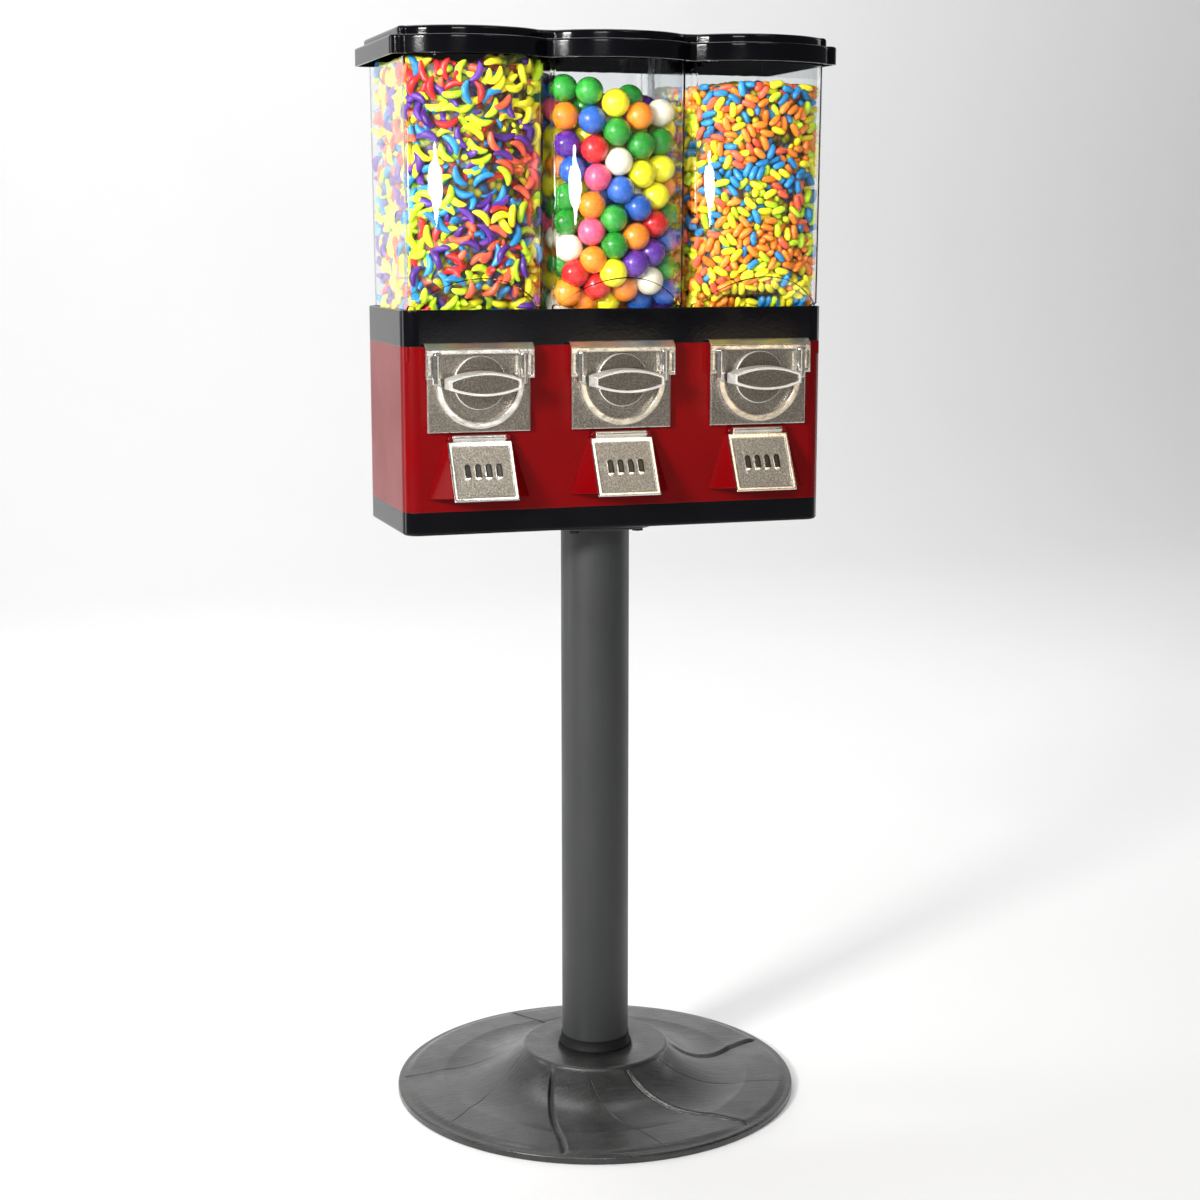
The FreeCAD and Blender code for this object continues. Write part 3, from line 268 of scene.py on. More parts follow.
class EffectGroups:
    """Builds each shared effect once and places it in materials."""

    SOCKETS = {
        Effect.EDGE: (("Radius", 0.0006), ("Breakup", 300.0), ("Amount", 1.0)),
        Effect.DUST: (("Scale", 60.0), ("Amount", 1.0)),
        Effect.MOTTLE: (("Scale", 20.0), ("Contrast", 1.0)),
        Effect.STREAK: (("Scale", 40.0), ("Along X", 1.0), ("Along Y", 1.0), ("Along Z", 1.0)),
        Effect.HAMMER: (("Scale", 900.0), ("Softness", 0.6)),
    }

    def __init__(self) -> None:
        """Starts with no group built."""
        self.built: dict[Effect, bpy.types.NodeTree] = {}

    def tree(self, effect: Effect) -> bpy.types.NodeTree:
        """The group of an effect, built at its first use.

        Args:
            effect: which effect.

        Returns:
            The node group.
        """
        if effect not in self.built:
            group = bpy.data.node_groups.new(effect.value, "ShaderNodeTree")
            for name, value in self.SOCKETS[effect]:
                made = group.interface.new_socket(name=name, in_out="INPUT", socket_type="NodeSocketFloat")
                made.default_value = value
            group.interface.new_socket(name="Value", in_out="OUTPUT", socket_type="NodeSocketFloat")
            sheet = Sheet(group)
            given = group.nodes.new("NodeGroupInput").outputs
            result = getattr(self, "wire_" + effect.name.lower())(sheet, given)
            sheet.feed(group.nodes.new("NodeGroupOutput").inputs["Value"], result)
            self.built[effect] = group
        return self.built[effect]

    def use(self, sheet: Sheet, effect: Effect, **values: float) -> bpy.types.NodeSocket:
        """Places an effect in a material.

        Args:
            sheet: the material's sheet.
            effect: which effect.
            values: input values, by name with spaces as underscores.

        Returns:
            The effect's value socket.
        """
        node = sheet.add("Group", node_tree=self.tree(effect))
        for name, value in values.items():
            sheet.feed(node.inputs[name.replace("_", " ")], value)
        return node.outputs["Value"]

    @staticmethod
    def wire_edge(sheet: Sheet, given: bpy.types.bpy_prop_collection) -> bpy.types.NodeSocket:
        """Mask that is high on sharp edges, broken up by noise.

        Args:
            sheet: the group's tree.
            given: the group's inputs, by name.

        Returns:
            The mask's socket.
        """
        bevel = sheet.add("Bevel", samples=4)
        sheet.feed(bevel.inputs["Radius"], given["Radius"])
        edge = sheet.span(sheet.dot(bevel.outputs[0], sheet.geometry("Normal")), 1.0, 0.0, (0.80, 0.985))
        patchy = sheet.span(sheet.noise(sheet.place(), given["Breakup"]), 0.0, 1.0, (0.42, 0.62))
        return sheet.maths("MULTIPLY", sheet.maths("MULTIPLY", edge, patchy), given["Amount"], clamp=True)

    @staticmethod
    def wire_dust(sheet: Sheet, given: bpy.types.bpy_prop_collection) -> bpy.types.NodeSocket:
        """Mask that is high on faces that look up.

        Args:
            sheet: the group's tree.
            given: the group's inputs, by name.

        Returns:
            The mask's socket.
        """
        up = sheet.span(sheet.part(sheet.geometry("Normal"), "Z"), 0.0, 1.0, (0.55, 1.0))
        cloud = sheet.span(sheet.noise(sheet.place(), given["Scale"], 5.0, 0.7), 0.15, 1.0, (0.35, 0.70))
        return sheet.maths("MULTIPLY", sheet.maths("MULTIPLY", up, cloud), given["Amount"], clamp=True)

    @staticmethod
    def wire_mottle(sheet: Sheet, given: bpy.types.bpy_prop_collection) -> bpy.types.NodeSocket:
        """Soft cloudy value around one half.

        Args:
            sheet: the group's tree.
            given: the group's inputs, by name.

        Returns:
            The value's socket.
        """
        cloud = sheet.noise(sheet.place(), given["Scale"], 4.0, 0.55)
        away = sheet.maths("MULTIPLY", sheet.maths("SUBTRACT", cloud, 0.5), given["Contrast"])
        return sheet.maths("ADD", away, 0.5, clamp=True)

    @staticmethod
    def wire_streak(sheet: Sheet, given: bpy.types.bpy_prop_collection) -> bpy.types.NodeSocket:
        """Noise drawn out along one or two axes.

        Args:
            sheet: the group's tree.
            given: the group's inputs, by name.

        Returns:
            The value's socket.
        """
        stretch = sheet.add("CombineXYZ")
        for axis in "XYZ":
            sheet.feed(stretch.inputs[axis], given["Along " + axis])
        return sheet.noise(sheet.place(stretch.outputs[0]), given["Scale"], 6.0, 0.62)

    @staticmethod
    def wire_hammer(sheet: Sheet, given: bpy.types.bpy_prop_collection) -> bpy.types.NodeSocket:
        """Small rounded bumps of a grained casting.

        Args:
            sheet: the group's tree.
            given: the group's inputs, by name.

        Returns:
            Socket of the height, without a unit.
        """
        cell = sheet.add("TexVoronoi", feature="SMOOTH_F1")
        sheet.feed(cell.inputs["Vector"], sheet.place())
        sheet.feed(cell.inputs["Scale"], given["Scale"])
        sheet.feed(cell.inputs["Smoothness"], given["Softness"])
        fine = sheet.noise(sheet.place(), sheet.maths("MULTIPLY", given["Scale"], 1.7), 2.0)
        return sheet.maths("ADD", cell.outputs["Distance"], sheet.maths("MULTIPLY", fine, 0.5))


EFFECTS = EffectGroups()


# ---- finishes -----------------------------------------------------------------------------
def new_material(name: str) -> tuple[bpy.types.Material, Sheet, bpy.types.Node, bpy.types.Node]:
    """An empty material with its surface shader and output.

    Args:
        name: the material's name.

    Returns:
        The material, its sheet, its Principled node and its output node.
    """
    material = bpy.data.materials.new(name)
    material.use_nodes = True
    material.node_tree.nodes.clear()
    sheet = Sheet(material.node_tree)
    shader = sheet.add("BsdfPrincipled")
    output = sheet.add("OutputMaterial")
    sheet.feed(output.inputs["Surface"], shader.outputs[0])
    return material, sheet, shader, output


def tinted(colour: Colour, factor: float, lift: float = 0.0) -> Colour:
    """Returns a colour times a factor plus a lift, no part above 1."""
    return tuple(min(1.0, part * factor + lift) for part in colour)


@dataclass(frozen=True)
class Coating:
    """Paint, plastic or bare metal with cloudy colour, grain, worn edges and dust, and painted shade in
    grooves where asked.
    """

    name: str
    colour: Colour
    shade: Colour
    roughness: tuple[float, float] = (0.25, 0.4)
    mottle: float = 25.0
    metallic: float = 0.0
    coat: float = 0.0
    coat_roughness: float = 0.05
    grain: float = 900.0
    grain_depth: float = 0.03 * MM
    streak: Optional[Colour] = None
    streak_scale: float = 60.0
    streak_share: float = 0.0
    streak_depth: float = 0.0
    edge: Colour = (0.3, 0.3, 0.3)
    edge_amount: float = 0.0
    dust: float = 0.0
    specular: float = 0.5
    rounding: float = 0.0
    # painted shade: darkens the faces that the groove attribute marks
    groove_shade: bool = False
    glow: float = 0.0

    # near-black of the painted shade in grooves
    POOLED_PAINT = (0.004, 0.004, 0.004)
    DUST_COLOUR = (0.42, 0.40, 0.37)

    def make(self) -> bpy.types.Material:
        """Builds the material.

        Returns:
            The finished material.
        """
        material, sheet, shader, _ = new_material(self.name)
        shader.inputs["Emission Color"].default_value = (*self.colour, 1.0)
        shader.inputs["Emission Strength"].default_value = self.glow
        cloud = EFFECTS.use(sheet, Effect.MOTTLE, Scale=self.mottle, Contrast=2.2)
        colour = sheet.blend(cloud, self.colour, self.shade)
        rough = sheet.span(cloud, self.roughness[0], self.roughness[1], (0.25, 0.75))
        height = sheet.maths("MULTIPLY", sheet.noise(sheet.place(), self.grain, 3.0), self.grain_depth)
        if self.streak is not None:
            lines = EFFECTS.use(sheet, Effect.STREAK, Scale=self.streak_scale, Along_X=self.streak[0],
                                Along_Y=self.streak[1], Along_Z=self.streak[2])
            light = tinted(self.colour, 1.9, 0.012)
            colour = sheet.blend(sheet.span(lines, 0.0, self.streak_share, (0.45, 0.72)), colour, light)
            height = sheet.maths("ADD", height, sheet.maths("MULTIPLY", lines, self.streak_depth))
        if self.groove_shade:
            # painted shade: the grooves are darkened towards near-black
            deep = sheet.add("Attribute", attribute_name="groove").outputs["Fac"]
            colour = sheet.blend(sheet.span(deep, 0.0, 0.95, (0.05, 0.55)), colour, self.POOLED_PAINT)
        if self.edge_amount:
            worn = EFFECTS.use(sheet, Effect.EDGE, Amount=self.edge_amount)
            colour = sheet.blend(worn, colour, self.edge)
        if self.dust:
            dust = EFFECTS.use(sheet, Effect.DUST, Amount=self.dust)
            colour = sheet.blend(dust, colour, self.DUST_COLOUR)
            rough = sheet.maths("ADD", rough, sheet.maths("MULTIPLY", dust, 0.5), clamp=True)
        bump = sheet.bump(height)
        if self.rounding:
            soften_edges(sheet, bump, self.rounding)
        sheet.feed(shader.inputs["Base Color"], colour)
        sheet.feed(shader.inputs["Roughness"], rough)
        sheet.feed(shader.inputs["Normal"], bump.outputs[0])
        shader.inputs["Metallic"].default_value = self.metallic
        shader.inputs["Coat Weight"].default_value = self.coat
        shader.inputs["Coat Roughness"].default_value = self.coat_roughness
        shader.inputs["Specular IOR Level"].default_value = self.specular
        return material


@dataclass(frozen=True)
class ClearPlastic:
    """Clear moulded plastic that lets lamps through, with faint smears."""

    name: str = "canister_clear"
    tint: Colour = (0.97, 0.985, 0.99)
    ior: float = 1.45

    def make(self) -> bpy.types.Material:
        """Builds the material.

        Returns:
            The finished material.
        """
        material, sheet, shader, output = new_material(self.name)
        smear = EFFECTS.use(sheet, Effect.MOTTLE, Scale=14.0, Contrast=3.0)
        sheet.feed(shader.inputs["Base Color"], self.tint)
        sheet.feed(shader.inputs["Roughness"], sheet.span(smear, 0.0, 0.035, (0.5, 1.0)))
        shader.inputs["IOR"].default_value = self.ior
        shader.inputs["Transmission Weight"].default_value = 1.0
        see_through = sheet.add("BsdfTransparent")
        sheet.feed(see_through.inputs[0], self.tint)
        choose = sheet.add("MixShader")
        sheet.feed(choose.inputs[0], sheet.add("LightPath").outputs["Is Shadow Ray"])
        sheet.feed(choose.inputs[1], shader.outputs[0])
        sheet.feed(choose.inputs[2], see_through.outputs[0])
        sheet.feed(output.inputs["Surface"], choose.outputs[0])
        return material


@dataclass(frozen=True)
class Sweet:
    """Pressed or panned sugar with a glaze, a little different on every piece."""

    name: str
    colour: Colour
    glaze: float = 0.5
    roughness: float = 0.32
    speckle: float = 1500.0
    speckle_depth: float = 0.05 * MM

    def make(self) -> bpy.types.Material:
        """Builds the material.

        Returns:
            The finished material.
        """
        material, sheet, shader, _ = new_material(self.name)
        each = sheet.geometry("Random Per Island")
        dark = tinted(self.colour, 0.72)
        colour = sheet.blend(each, dark, tinted(self.colour, 1.08, 0.02))
        cloud = EFFECTS.use(sheet, Effect.MOTTLE, Scale=260.0, Contrast=2.0)
        colour = sheet.blend(sheet.maths("MULTIPLY", cloud, 0.25), colour, dark)
        grain = sheet.noise(sheet.place(), self.speckle, 2.0)
        bump = sheet.bump(sheet.maths("MULTIPLY", grain, self.speckle_depth))
        sheet.feed(shader.inputs["Base Color"], colour)
        sheet.feed(shader.inputs["Roughness"],
                   sheet.span(cloud, self.roughness - 0.06, self.roughness + 0.1, (0.2, 0.8)))
        sheet.feed(shader.inputs["Normal"], bump.outputs[0])
        shader.inputs["Coat Weight"].default_value = self.glaze
        shader.inputs["Coat Roughness"].default_value = 0.12
        return material


@dataclass(frozen=True)
class CastChrome:
    """Plated casting: polished rims, and grained fields where a face lies at one of the stated depths."""

    name: str
    outward: Point
    origin: Point
    fields: tuple[tuple[float, float], ...]
    ribs: Optional[tuple[float, float, float]] = None
    grain: float = 760.0
    bright: Colour = (0.88, 0.85, 0.79)
    dull: Colour = (0.30, 0.268, 0.225)
    rounding: float = 1.9 * MM
    satin: float = 0.0

    SQUARE_ON = 0.97                   # cosine above which a face counts as a field
    GRAIN_DEPTH = 0.30 * MM
    RIPPLE_DEPTH = 0.10 * MM
    RIM_ROUGHNESS = 0.085
    FIELD_ROUGHNESS = 0.27
    TOP_ROUGHNESS = 0.22               # added on faces that look up
    RIB_COLOUR = (0.03, 0.028, 0.026)

    def window(self, sheet: Sheet, value: object, low: float, high: float) -> bpy.types.NodeSocket:
        """Returns one where a value is between low and high, and zero elsewhere."""
        above = sheet.maths("GREATER_THAN", value, low)
        return sheet.maths("MULTIPLY", above, sheet.maths("LESS_THAN", value, high))

    def measure(self, sheet: Sheet, axis: Point) -> bpy.types.NodeSocket:
        """Distance of the point from the origin along an axis, in millimetres."""
        away = sheet.vector("SUBTRACT", sheet.place(), self.origin).outputs[0]
        return sheet.maths("MULTIPLY", sheet.dot(away, axis), 1.0 / MM)

    def field_mask(self, sheet: Sheet) -> bpy.types.NodeSocket:
        """One on the grained fields.

        Args:
            sheet: the material's tree.

        Returns:
            The mask's socket.
        """
        depth = self.measure(sheet, self.outward)
        facing = sheet.dot(sheet.geometry("True Normal"), self.outward)
        inside: object = 0.0
        for low, high in self.fields:
            inside = sheet.maths("MAXIMUM", inside, self.window(sheet, depth, low, high))
        return sheet.maths("MULTIPLY", inside, sheet.maths("GREATER_THAN", facing, self.SQUARE_ON))

    def rib_mask(self, sheet: Sheet) -> bpy.types.NodeSocket:
        """One on the faces of the raised ribs in the middle of a flap.

        Args:
            sheet: the material's tree.

        Returns:
            The mask's socket.
        """
        half, low, high = self.ribs
        near = sheet.maths("PINGPONG", sheet.part(sheet.place(), "X"), PITCH / 2)
        down = (0.0, -abs(self.outward[2]), -abs(self.outward[1]))
        across = self.window(sheet, near, -1.0, half)
        along = self.window(sheet, self.measure(sheet, down), low, high)
        return sheet.maths("MULTIPLY", sheet.maths("MULTIPLY", across, along),
                           self.window(sheet, self.measure(sheet, self.outward), 0.1, 1.0))

    def make(self) -> bpy.types.Material:
        """Builds the material.

        Returns:
            The finished material.
        """
        material, sheet, shader, _ = new_material(self.name)
        field = self.field_mask(sheet)
        grain = EFFECTS.use(sheet, Effect.HAMMER, Scale=self.grain)
        cloud = EFFECTS.use(sheet, Effect.MOTTLE, Scale=55.0, Contrast=2.4)
        spark = sheet.span(grain, 0.0, 1.0, (0.35, 0.95))
        dull = sheet.blend(spark, tinted(self.dull, 0.55), tinted(self.dull, 1.5))
        rim = sheet.blend(cloud, self.bright, tinted(self.bright, 0.8))
        colour = sheet.blend(field, rim, dull)
        if self.ribs:
            colour = sheet.blend(self.rib_mask(sheet), colour, self.RIB_COLOUR)
        rough = sheet.span(field, self.RIM_ROUGHNESS, self.FIELD_ROUGHNESS)
        rough = sheet.maths("ADD", rough, sheet.maths("MULTIPLY", cloud, 0.06))
        upward = sheet.part(sheet.geometry("True Normal"), "Z")
        rough = sheet.maths("ADD", rough, sheet.span(upward, 0.0, self.TOP_ROUGHNESS, (0.5, 0.7)))
        height = sheet.maths("MULTIPLY", sheet.maths("MULTIPLY", grain, field), self.GRAIN_DEPTH)
        ripple = sheet.maths("MULTIPLY", sheet.noise(sheet.place(), 120.0, 2.0), self.RIPPLE_DEPTH)
        bump = sheet.bump(sheet.maths("ADD", height, ripple))
        soften_edges(sheet, bump, self.rounding)
        sheet.feed(shader.inputs["Base Color"], colour)
        sheet.feed(shader.inputs["Roughness"], rough)
        sheet.feed(shader.inputs["Normal"], bump.outputs[0])
        sheet.feed(shader.inputs["Metallic"], sheet.span(field, 1.0 - self.satin, 1.0))
        return material


FRONTWARD = (0.0, -1.0, 0.0)
TILT = math.radians(27.0)          # how far a closed flap leans
FLAPWARD = (0.0, -math.cos(TILT), math.sin(TILT))
FLAP_PIN = (0.0, -78.2 * MM, 652.0 * MM)


class Paints:
    """All finishes of the vendor's own parts, each made once."""

    CHROME: dict[str, CastChrome] = {
        "plate": CastChrome("plate_chrome", FRONTWARD, (0.0, 0.0, 0.0), ((79.0, 81.5),)),
        "grip": CastChrome("grip_chrome", FRONTWARD, (0.0, 0.0, 0.0), ((103.5, 104.7), (80.0, 84.0)),
                           bright=(0.97, 0.95, 0.91), dull=(0.23, 0.20, 0.165), satin=0.42),
        "flap": CastChrome("flap_chrome", FLAPWARD, FLAP_PIN, ((-0.8, -0.1),), (18.5 * MM, 17.0, 38.0),
                           dull=(0.52, 0.48, 0.42)),
    }

    TABLE: dict[str, Coating] = {
        "foot": Coating("foot_black_iron", (0.008, 0.009, 0.0087), (0.013, 0.0148, 0.014), (0.27, 0.38), 40.0,
                        coat=0.5, coat_roughness=0.24, grain=620.0, grain_depth=0.42 * MM,
                        streak=(0.22, 3.6, 2.0), streak_scale=95.0, streak_share=0.9, streak_depth=0.62 * MM,
                        # the foot's grooves carry painted shade
                        edge=(0.12, 0.12, 0.125), edge_amount=0.4, dust=0.06, groove_shade=True),
        "rubber": Coating("boot_rubber", (0.006, 0.006, 0.0065), (0.009, 0.009, 0.0095), (0.55, 0.7), 50.0,
                          grain=600.0, grain_depth=0.05 * MM, specular=0.2),
        "pole": Coating("pole_satin_grey", (0.021, 0.0225, 0.0225), (0.026, 0.0275, 0.0275), (0.38, 0.48),
                        9.0, grain=1800.0, grain_depth=0.05 * MM, streak=(6.0, 6.0, 0.4), streak_scale=60.0,
                        streak_share=0.10, streak_depth=0.02 * MM),
        "black": Coating("moulded_black", (0.0016, 0.0016, 0.0026), (0.0028, 0.0028, 0.0042), (0.06, 0.12),
                         18.0, grain=350.0, grain_depth=0.02 * MM, edge=(0.03, 0.03, 0.035),
                         edge_amount=0.2, dust=0.02, specular=0.24, rounding=1.2 * MM),
        "inner_black": Coating("inner_black", (0.008, 0.008, 0.009), (0.013, 0.013, 0.014), (0.35, 0.5), 30.0,
                               grain=700.0, grain_depth=0.03 * MM, dust=0.2),
        "red": Coating("cabinet_red", (0.195, 0.0004, 0.0016), (0.150, 0.0003, 0.0012), (0.18, 0.27), 10.0,
                       coat=0.06, coat_roughness=0.03, grain=260.0, grain_depth=0.02 * MM,
                       edge=(0.30, 0.01, 0.012), edge_amount=0.2, dust=0.01, specular=0.13,
                       rounding=1.2 * MM),
        "chrome": Coating("bright_chrome", (0.80, 0.78, 0.74), (0.66, 0.63, 0.58), (0.07, 0.17), 60.0,
                          metallic=1.0, grain=500.0, grain_depth=0.03 * MM,
                          edge=(0.9, 0.88, 0.84), edge_amount=0.4,
                          rounding=1.0 * MM),
        "steel": Coating("zinc_steel", (0.50, 0.50, 0.49), (0.40, 0.40, 0.40), (0.26, 0.42), 80.0,
                         metallic=1.0, grain=900.0, grain_depth=0.04 * MM,
                         edge=(0.7, 0.7, 0.7), edge_amount=0.4),
        "brass": Coating("coin_brass", (0.62, 0.43, 0.17), (0.48, 0.32, 0.12), (0.2, 0.35), 90.0,
                         metallic=1.0, grain=900.0, grain_depth=0.03 * MM,
                         edge=(0.85, 0.65, 0.3), edge_amount=0.5),
    }

    def __init__(self) -> None:
        """Starts with no material made."""
        self.made: dict[str, bpy.types.Material] = {}

    def get(self, key: str) -> bpy.types.Material:
        """The material for a key of TABLE, or the clear plastic.

        Args:
            key: which finish.

        Returns:
            The material.
        """
        if key not in self.made:
            finish = ClearPlastic() if key == "clear" else self.CHROME.get(key) or self.TABLE[key]
            self.made[key] = finish.make()
        return self.made[key]


# ---- mesh building ------------------------------------------------------------------------
def mesh_object(name: str, points: np.ndarray, faces: Sequence[np.ndarray], material: bpy.types.Material,
                smooth: bool = True) -> bpy.types.Object:
    """A mesh object from arrays.

    Args:
        name: the piece's name.
        points: n x 3 array, metres.
        faces: arrays of faces, each with its own number of corners.
        material: the only material.
        smooth: shade the faces smooth.

    Returns:
        The object, linked to the scene.
    """
    mesh = bpy.data.meshes.new(name)
    corners = np.concatenate([f.ravel() for f in faces]).astype(np.int32)
    sizes = np.concatenate([np.full(len(f), f.shape[1]) for f in faces]).astype(np.int32)
    mesh.vertices.add(len(points))
    mesh.vertices.foreach_set("co", points.astype(np.float32).ravel())
    mesh.loops.add(len(corners))
    mesh.loops.foreach_set("vertex_index", corners)
    mesh.polygons.add(len(sizes))
    starts = np.concatenate([[0], np.cumsum(sizes)[:-1]]).astype(np.int32)
    mesh.polygons.foreach_set("loop_start", starts)
    mesh.polygons.foreach_set("loop_total", sizes)
    mesh.polygons.foreach_set("use_smooth", np.full(len(sizes), smooth))
    mesh.update(calc_edges=True)
    mesh.validate()
    mesh.materials.append(material)
    piece = bpy.data.objects.new(name, mesh)
    bpy.context.scene.collection.objects.link(piece)
    return piece


def dress(node: str, material: bpy.types.Material) -> None:
    """Gives a CAD node one material.

    Args:
        node: the node's name.
        material: its new material.
    """
    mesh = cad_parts[node].data
    mesh.materials.clear()
    mesh.materials.append(material)


def arc_through(a: tuple[float, float], b: tuple[float, float], c: tuple[float, float],
                steps: int) -> np.ndarray:
    """Points along the circle arc that starts at a, passes b and ends at c.

    Args:
        a: start.
        b: point on the way.
        c: end.
        steps: number of spans.

    Returns:
        Array of steps + 1 points.
    """
    (ax, ay), (bx, by), (cx, cy) = a, b, c
    d = 2 * (ax * (by - cy) + bx * (cy - ay) + cx * (ay - by))
    sa, sb, sc = ax * ax + ay * ay, bx * bx + by * by, cx * cx + cy * cy
    ux = (sa * (by - cy) + sb * (cy - ay) + sc * (ay - by)) / d
    uy = (sa * (cx - bx) + sb * (ax - cx) + sc * (bx - ax)) / d
    start = math.atan2(ay - uy, ax - ux)
    middle = (math.atan2(by - uy, bx - ux) - start) % math.tau
    end = (math.atan2(cy - uy, cx - ux) - start) % math.tau
    if middle > end:
        end -= math.tau
    turn = start + np.linspace(0, end, steps + 1)
    radius = math.hypot(ax - ux, ay - uy)
    return np.column_stack([ux + radius * np.cos(turn), uy + radius * np.sin(turn)])


# ---- pedestal -----------------------------------------------------------------------------
@dataclass
class Foot:
    """Round cast foot with five swirling grooves between raised leaves."""

    groove_ends: tuple[float, ...] = (10.8, 100.3, 165.3, 243.7, 301.8)
    vein_ends: tuple[float, ...] = (205.0, 272.0, 335.0)
    swirl: float = 26.0
    groove_depth: float = 3.1
    groove_width: float = 2.0
    # width of the painted shade along each groove
    paint_width: float = 3.4
    lip: float = 2.1
    swell: float = 2.3
    vein_depth: float = 0.45
    vein_width: float = 0.7
    lip_reach: float = 14.0
    swell_reach: float = 28.0
    relief_start: float = 72.0
    relief_end: float = 189.0

    def twist(self, radius: np.ndarray) -> np.ndarray:
        """Returns how far the grooves have turned at radii in millimetres: radians, zero at the rim."""
        share = np.clip((190.0 - radius) / 120.0, 0, 1)
        return -np.radians(self.swirl) * share ** 1.6

    def profile(self) -> np.ndarray:
        """Closed section of the casting as radius, height, and whether the relief shows there.

        Returns:
            One row for each point, in millimetres.
        """
        top = [(32.9, 39.0, 0), (32.9, 41.6, 0), (33.3, 42.0, 0), (50.0, 42.0, 0), (60.0, 42.0, 0)]
        top += [(r, z, 0) for r, z in arc_through((68.0, 42.0), (70.6, 41.4), (72.0, 39.4), 5)]
        top += [(r, z, 1) for r, z in arc_through((72.0, 39.4), (99.0, 18.0), (150.0, 9.5), 46)[1:]]
        top += [(r, 9.5 - 2.5 * (r - 150.0) / 43.0, 1) for r in np.linspace(151.5, 192.0, 26)]
        top += [(r, z, 0) for r, z in arc_through((193.0, 7.0), (194.4, 6.4), (195.0, 5.0), 4)]
        under = [(195.0, 0.6), (194.4, 0.0), (183.0, 0.0), (181.0, 2.0), (150.0, 3.0)]
        under += [tuple(p) for p in arc_through((150.0, 3.0), (92.0, 10.5), (62.0, 32.0), 14)[1:]]
        under += [(24.0, 32.0), (24.0, 24.0), (6.6, 24.0), (6.6, 39.0)]
        return np.array(top + [(r, z, 0) for r, z in under])

    def bearings(self) -> np.ndarray:
        """Column angles in radians, close together near grooves and veins.

        Returns:
            The angles, sorted.
        """
        fine = [end + step for end in self.groove_ends for step in np.linspace(-2.4, 2.4, 41)]
        fine += [end + step for end in self.vein_ends for step in np.linspace(-0.8, 0.8, 13)]
        coarse = [a for a in np.arange(0.0, 360.0, 1.25)
                  if min(abs((a - f + 180) % 360 - 180) for f in fine) > 0.5]
        return np.radians(np.sort(np.mod(np.array(fine + coarse), 360.0)))

    def relief(self, radius: np.ndarray, bearing: np.ndarray) -> tuple[np.ndarray, np.ndarray]:
        """Height added to the casting's top, and how strongly painted shade darkens each point near a groove.

        Args:
            radius: radii in millimetres.
            bearing: angles before the twist, in radians.

        Returns:
            Heights in millimetres, and painted shade strengths from 0 to 1.
        """
        fade = (np.clip((radius - self.relief_start) / 9.0, 0, 1)
                * np.clip((self.relief_end - radius) / 6.0, 0, 1))
        height = np.zeros_like(radius)
        ends = np.radians(np.array(self.groove_ends))
        gaps = (bearing[None] - ends[:, None] + math.pi) % math.tau - math.pi
        nearest = np.abs(gaps).argmin(0)
        gap = np.take_along_axis(gaps, nearest[None], 0)[0]
        across = gap * radius
        groove = np.exp(-(across / self.groove_width) ** 2)
        height -= self.groove_depth * groove
        height += self.lip * np.exp(-np.clip(across, 0, None) / self.lip_reach) * (across > 0)
        height += self.swell * (1 - np.exp(-(across / self.swell_reach) ** 2))
        for end in self.vein_ends:
            off = ((bearing - math.radians(end) + math.pi) % math.tau - math.pi) * radius
            height -= self.vein_depth * np.exp(-(off / self.vein_width) ** 2)
        return height * fade, np.exp(-(across / self.paint_width) ** 2) * fade

    def build(self, paints: Paints) -> None:
        """Makes the foot in place of its plain CAD node.

        Args:
            paints: the finishes.
        """
        section = self.profile()
        bearing = self.bearings()
        rows, columns = len(section), len(bearing)
        radius = np.repeat(section[:, :1], columns, 1)
        turn = bearing[None] + self.twist(radius)
        lift, groove = (part.reshape(rows, columns) * section[:, 2:3]
                        for part in self.relief(radius.ravel(), np.tile(bearing, rows)))
        height = section[:, 1:2] + lift
        points = np.stack([radius * np.cos(turn), radius * np.sin(turn), height], -1).reshape(-1, 3) * MM
        row = np.arange(rows)[:, None]
        column = np.arange(columns)[None]
        after, beside = (row + 1) % rows, (column + 1) % columns
        faces = np.stack([row * columns + column, after * columns + column, after * columns + beside,
                          row * columns + beside], -1).reshape(-1, 4)
        piece = mesh_object("cast_foot", points, [faces], paints.get("foot"))
        # mask of the painted shade in the grooves, read by the foot's material
        piece.data.attributes.new("groove", "FLOAT", "POINT").data.foreach_set("value", groove.ravel())
        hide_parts("base_casting")
        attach(piece, Body.STAND.value)
        log.info("cast foot: %d faces", len(faces))


